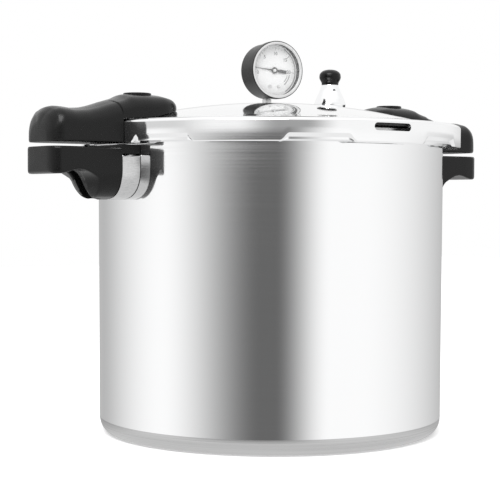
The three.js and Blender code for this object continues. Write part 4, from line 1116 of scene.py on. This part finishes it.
turn = GAUGE @ Matrix.Rotation(math.radians(ZERO_ANGLE), 4, "Z")
blade = build("pointer_blade", *pointer(), pointer_black, turn)
on(blade, "pointer", "pointer_black", "gauge_pointer")
hub = [(1.5, 13.95), (2.9, 13.95), (2.9, 15.0), (2.6, 15.2), (1.7, 15.2), (1.5, 15.0)]
on(build("pointer_hub", *turned(hub, 48), pointer_black, GAUGE), "pointer", "pointer_black")
pin = build("pointer_pin", *turned(round_bar(1.5, 14.0, 15.4, 0.2), 32), satin, GAUGE)
on(pin, "pointer", "satin_aluminium")


def eased_block(half, bottom, top, edge):
    """A square bar with eased edges."""
    rings = []
    for z, inset in ((bottom, edge), (bottom + edge, 0), (top - edge, 0), (top, edge)):
        h = half - inset
        ring = []
        for sx, sy in ((1, 1), (-1, 1), (-1, -1), (1, -1)):
            ends = [(sx * h, sy * (h - edge)), (sx * (h - edge), sy * h)]
            ring.extend((x, y, z) for x, y in (ends if sx * sy > 0 else ends[::-1]))
        rings.append(ring)
    return lofted(rings)


case_low = GAUGE_Z - CASE_RADIUS
stem_turn = moved(GAUGE_X, 0, 0) @ Matrix.Rotation(GAUGE_TURN, 4, "Z")
block = eased_block(3.25, cover_height(7) + 0.6, case_low - GAP, 0.4)
stem = build("stem_square", *block, satin, stem_turn, sharp=30)
on(stem, "cover", "satin_aluminium", "gauge_stem")
neck = build("stem_neck", *turned(round_bar(3, low("gauge_stem").z, case_low + 2), 48), satin, stem_turn)
on(neck, "cover", "satin_aluminium")


# ---------------------------------------------------------------- fittings on the dome


def dome_frame(x, y):
    """The frame of a fitting that stands square on the dome."""
    r = math.hypot(x, y)
    slope = 2 * DOME_RISE * r / DOME_RADIUS**2
    normal = Vector((slope * x / r, slope * y / r, 1)).normalized()
    turn = Vector((0, 0, 1)).rotation_difference(normal).to_matrix().to_4x4()
    return moved(x, y, cover_height(r)) @ turn


lock_place = dome_frame(*LOCK_PLACE)
grommet = [(2.6, -4.9), (6.9, -4.9), (6.9, -3), (4.9, -3), (4.9, 0.3)]
grommet += [(6.9, 0.3), (6.9, 1.0), (6.3, 1.9), (2.6, 1.9)]
piece = build("lock_grommet", *turned(grommet, 48), rubber, lock_place)
on(piece, "cover", "rubber", "cover_lock_grommet")
pin = [(0, -11.7), (1.7, -11.7), (1.7, -8.2), (2.3, -8.2), (2.3, 2.2)]
pin += [(4.0, 2.2), (4.0, 3.4), (3.3, 4.2), (0, 4.2)]
piece = build("lock_pin", *turned(pin, 48), steel, lock_place)
on(piece, "cover_lock", "steel", "cover_lock_pin")
plug = [(0, -5), (5.7, -5), (6.7, -3), (4.7, -3), (4.7, 0.3), (8.0, 0.3)]
plug += [(8.0, 1.3), (7.2, 2.3), (5.6, 2.8), (4.8, 2.3), (0, 2.5)]
piece = build("plug_moulded", *turned(plug, 48), rubber, dome_frame(*PLUG_PLACE))
on(piece, "cover", "rubber", "overpressure_plug")


# ---------------------------------------------------------------- finish of the CAD nodes that still show


for part in frame["record"]["subparts"]:
    materials = frame["nodes"][part["node"]].data.materials
    materials.clear()
    materials.append(LOOKS[part["material_slot"]])


# ---------------------------------------------------------------- studio

VIEW_ANGLE = math.radians(35.8)  # of the camera, from -Y towards -X
DISTANCE = 1345.8
CAMERA_HEIGHT = 213.7
LENS = 103.7
LOOK_LEFT = math.radians(0.802)
LOOK_DOWN = math.radians(1.994)
ROLL = math.radians(0.2)

camera = bpy.data.objects.new("camera", bpy.data.cameras.new("camera"))
scene.collection.objects.link(camera)
scene.camera = camera
camera.data.lens = LENS
camera.data.sensor_width = 36
camera.data.clip_start = 0.05
camera.location = (
    Vector((-DISTANCE * math.sin(VIEW_ANGLE), -DISTANCE * math.cos(VIEW_ANGLE), CAMERA_HEIGHT)) * MM
)
heading = VIEW_ANGLE - LOOK_LEFT
camera.matrix_world = (
    Matrix.Translation(camera.location)
    @ Matrix.Rotation(-heading, 4, "Z")
    @ Matrix.Rotation(math.radians(90) - LOOK_DOWN, 4, "X")
    @ Matrix.Rotation(ROLL, 4, "Z")
)


# Walls of light round the studio: degrees from the camera's direction, and brightness, eased between.
# A dark strip stands in front, a broad light wall on each side, and a dimmer one behind.
POT_WALLS = [(-150, 0.5), (-75, 1.05), (-5, 0.14), (3, 0.14), (40, 1.05), (60, 1.05), (180, 0.5)]
COVER_WALLS = [(-60, 0.7), (-30, 1), (-20, 1), (5, 0.38), (20, 0.38), (42, 1), (120, 1), (180, 0.7)]


def ring_of_light(tree, angle, stops):
    """A colour ramp round the horizon."""
    ramp = tree.nodes.new("ShaderNodeValToRGB")
    ramp.color_ramp.interpolation = "EASE"
    elements = ramp.color_ramp.elements
    for i, (place, brightness) in enumerate(stops):
        position = (place + 180) / 360
        element = elements[i] if i < 2 else elements.new(position)
        element.position = position
        element.color = (*grey(brightness), 1)
    tree.links.new(angle, ramp.inputs["Fac"])
    return ramp.outputs["Color"]


def ranged(tree, value, start, end):
    """0 at start, 1 at end, eased between."""
    node = tree.nodes.new("ShaderNodeMapRange")
    node.interpolation_type = "SMOOTHSTEP"
    node.inputs["From Min"].default_value = start
    node.inputs["From Max"].default_value = end
    tree.links.new(value, node.inputs["Value"])
    return node.outputs["Result"]


def mixed(tree, share, a, b):
    """Mixes two colours; each is a socket or a plain grey."""
    node = tree.nodes.new("ShaderNodeMix")
    node.data_type = "RGBA"
    tree.links.new(share, node.inputs["Factor"])
    for key, value in (("A", a), ("B", b)):
        socket = [s for s in node.inputs if s.name == key and s.type == "RGBA"][0]
        if isinstance(value, (int, float)):
            socket.default_value = (*grey(value), 1)
        else:
            tree.links.new(value, socket)
    return [s for s in node.outputs if s.type == "RGBA"][0]


def light_the_studio():
    """The world: plain white to look at, with soft walls of light to reflect."""
    world = bpy.data.worlds.new("studio")
    scene.world = world
    world.use_nodes = True
    tree = world.node_tree
    tree.nodes.clear()
    place = tree.nodes.new("ShaderNodeTexCoord")
    turn = tree.nodes.new("ShaderNodeVectorRotate")
    turn.rotation_type = "Z_AXIS"
    turn.inputs["Angle"].default_value = VIEW_ANGLE
    tree.links.new(place.outputs["Generated"], turn.inputs["Vector"])
    parts = tree.nodes.new("ShaderNodeSeparateXYZ")
    tree.links.new(turn.outputs["Vector"], parts.inputs["Vector"])
    away = tree.nodes.new("ShaderNodeMath")
    away.operation = "MULTIPLY"
    away.inputs[1].default_value = -1
    tree.links.new(parts.outputs["Y"], away.inputs[0])
    around = tree.nodes.new("ShaderNodeMath")
    around.operation = "ARCTAN2"
    tree.links.new(parts.outputs["X"], around.inputs[0])
    tree.links.new(away.outputs[0], around.inputs[1])
    turns = tree.nodes.new("ShaderNodeMath")
    turns.operation = "MULTIPLY_ADD"
    turns.inputs[1].default_value = 1 / (2 * math.pi)
    turns.inputs[2].default_value = 0.5
    tree.links.new(around.outputs[0], turns.inputs[0])
    height = parts.outputs["Z"]
    lower = ring_of_light(tree, turns.outputs[0], POT_WALLS)
    upper = ring_of_light(tree, turns.outputs[0], COVER_WALLS)
    # Upwards from the horizon: the lower walls, the upper walls, the ceiling, and its bright middle.
    walls = mixed(tree, ranged(tree, height, 0.034, 0.043), lower, upper)
    ceiling = mixed(tree, ranged(tree, height, 0.09, 0.2), walls, 0.98)
    bright = mixed(tree, ranged(tree, height, 0.5, 0.9), ceiling, 1.25)
    ground = mixed(tree, ranged(tree, height, -0.18, -0.45), bright, 0.9)
    glow = tree.nodes.new("ShaderNodeBackground")
    tree.links.new(ground, glow.inputs["Color"])
    plain = tree.nodes.new("ShaderNodeBackground")
    plain.inputs["Color"].default_value = (*grey(1.0), 1)
    seen = tree.nodes.new("ShaderNodeLightPath")
    either = tree.nodes.new("ShaderNodeMixShader")
    tree.links.new(seen.outputs["Is Camera Ray"], either.inputs["Fac"])
    tree.links.new(glow.outputs[0], either.inputs[1])
    tree.links.new(plain.outputs[0], either.inputs[2])
    output = tree.nodes.new("ShaderNodeOutputWorld")
    tree.links.new(either.outputs[0], output.inputs["Surface"])


light_the_studio()

floor_look = principled("floor", grey(0.9), 0.8)
floor_shader = floor_look.node_tree.nodes["Principled BSDF"]
floor_shader.inputs["Emission Color"].default_value = (*grey(1.0), 1)
floor_shader.inputs["Emission Strength"].default_value = 0.25
FLOOR_HALF = 3000
floor_points = [(x * FLOOR_HALF, y * FLOOR_HALF, 0) for x, y in ((-1, -1), (1, -1), (1, 1), (-1, 1))]
floor = build("floor", floor_points, [(0, 1, 2, 3)], floor_look)
floor.location.z = -0.0005
floor.visible_glossy = False


def softbox(name, place, size, energy):
    """A square soft light that faces the canner's upper part."""
    lamp = bpy.data.lights.new(name, "AREA")
    lamp.size = size * MM
    lamp.energy = energy
    holder = bpy.data.objects.new(name, lamp)
    scene.collection.objects.link(holder)
    holder.location = Vector(place) * MM
    aim = Vector((0, 0, 250)) * MM - holder.location
    holder.rotation_euler = aim.to_track_quat("-Z", "Y").to_euler()


softbox("softbox over the camera", (-1000, -900, 1500), 1100, 26)

scene.view_settings.view_transform = "Standard"
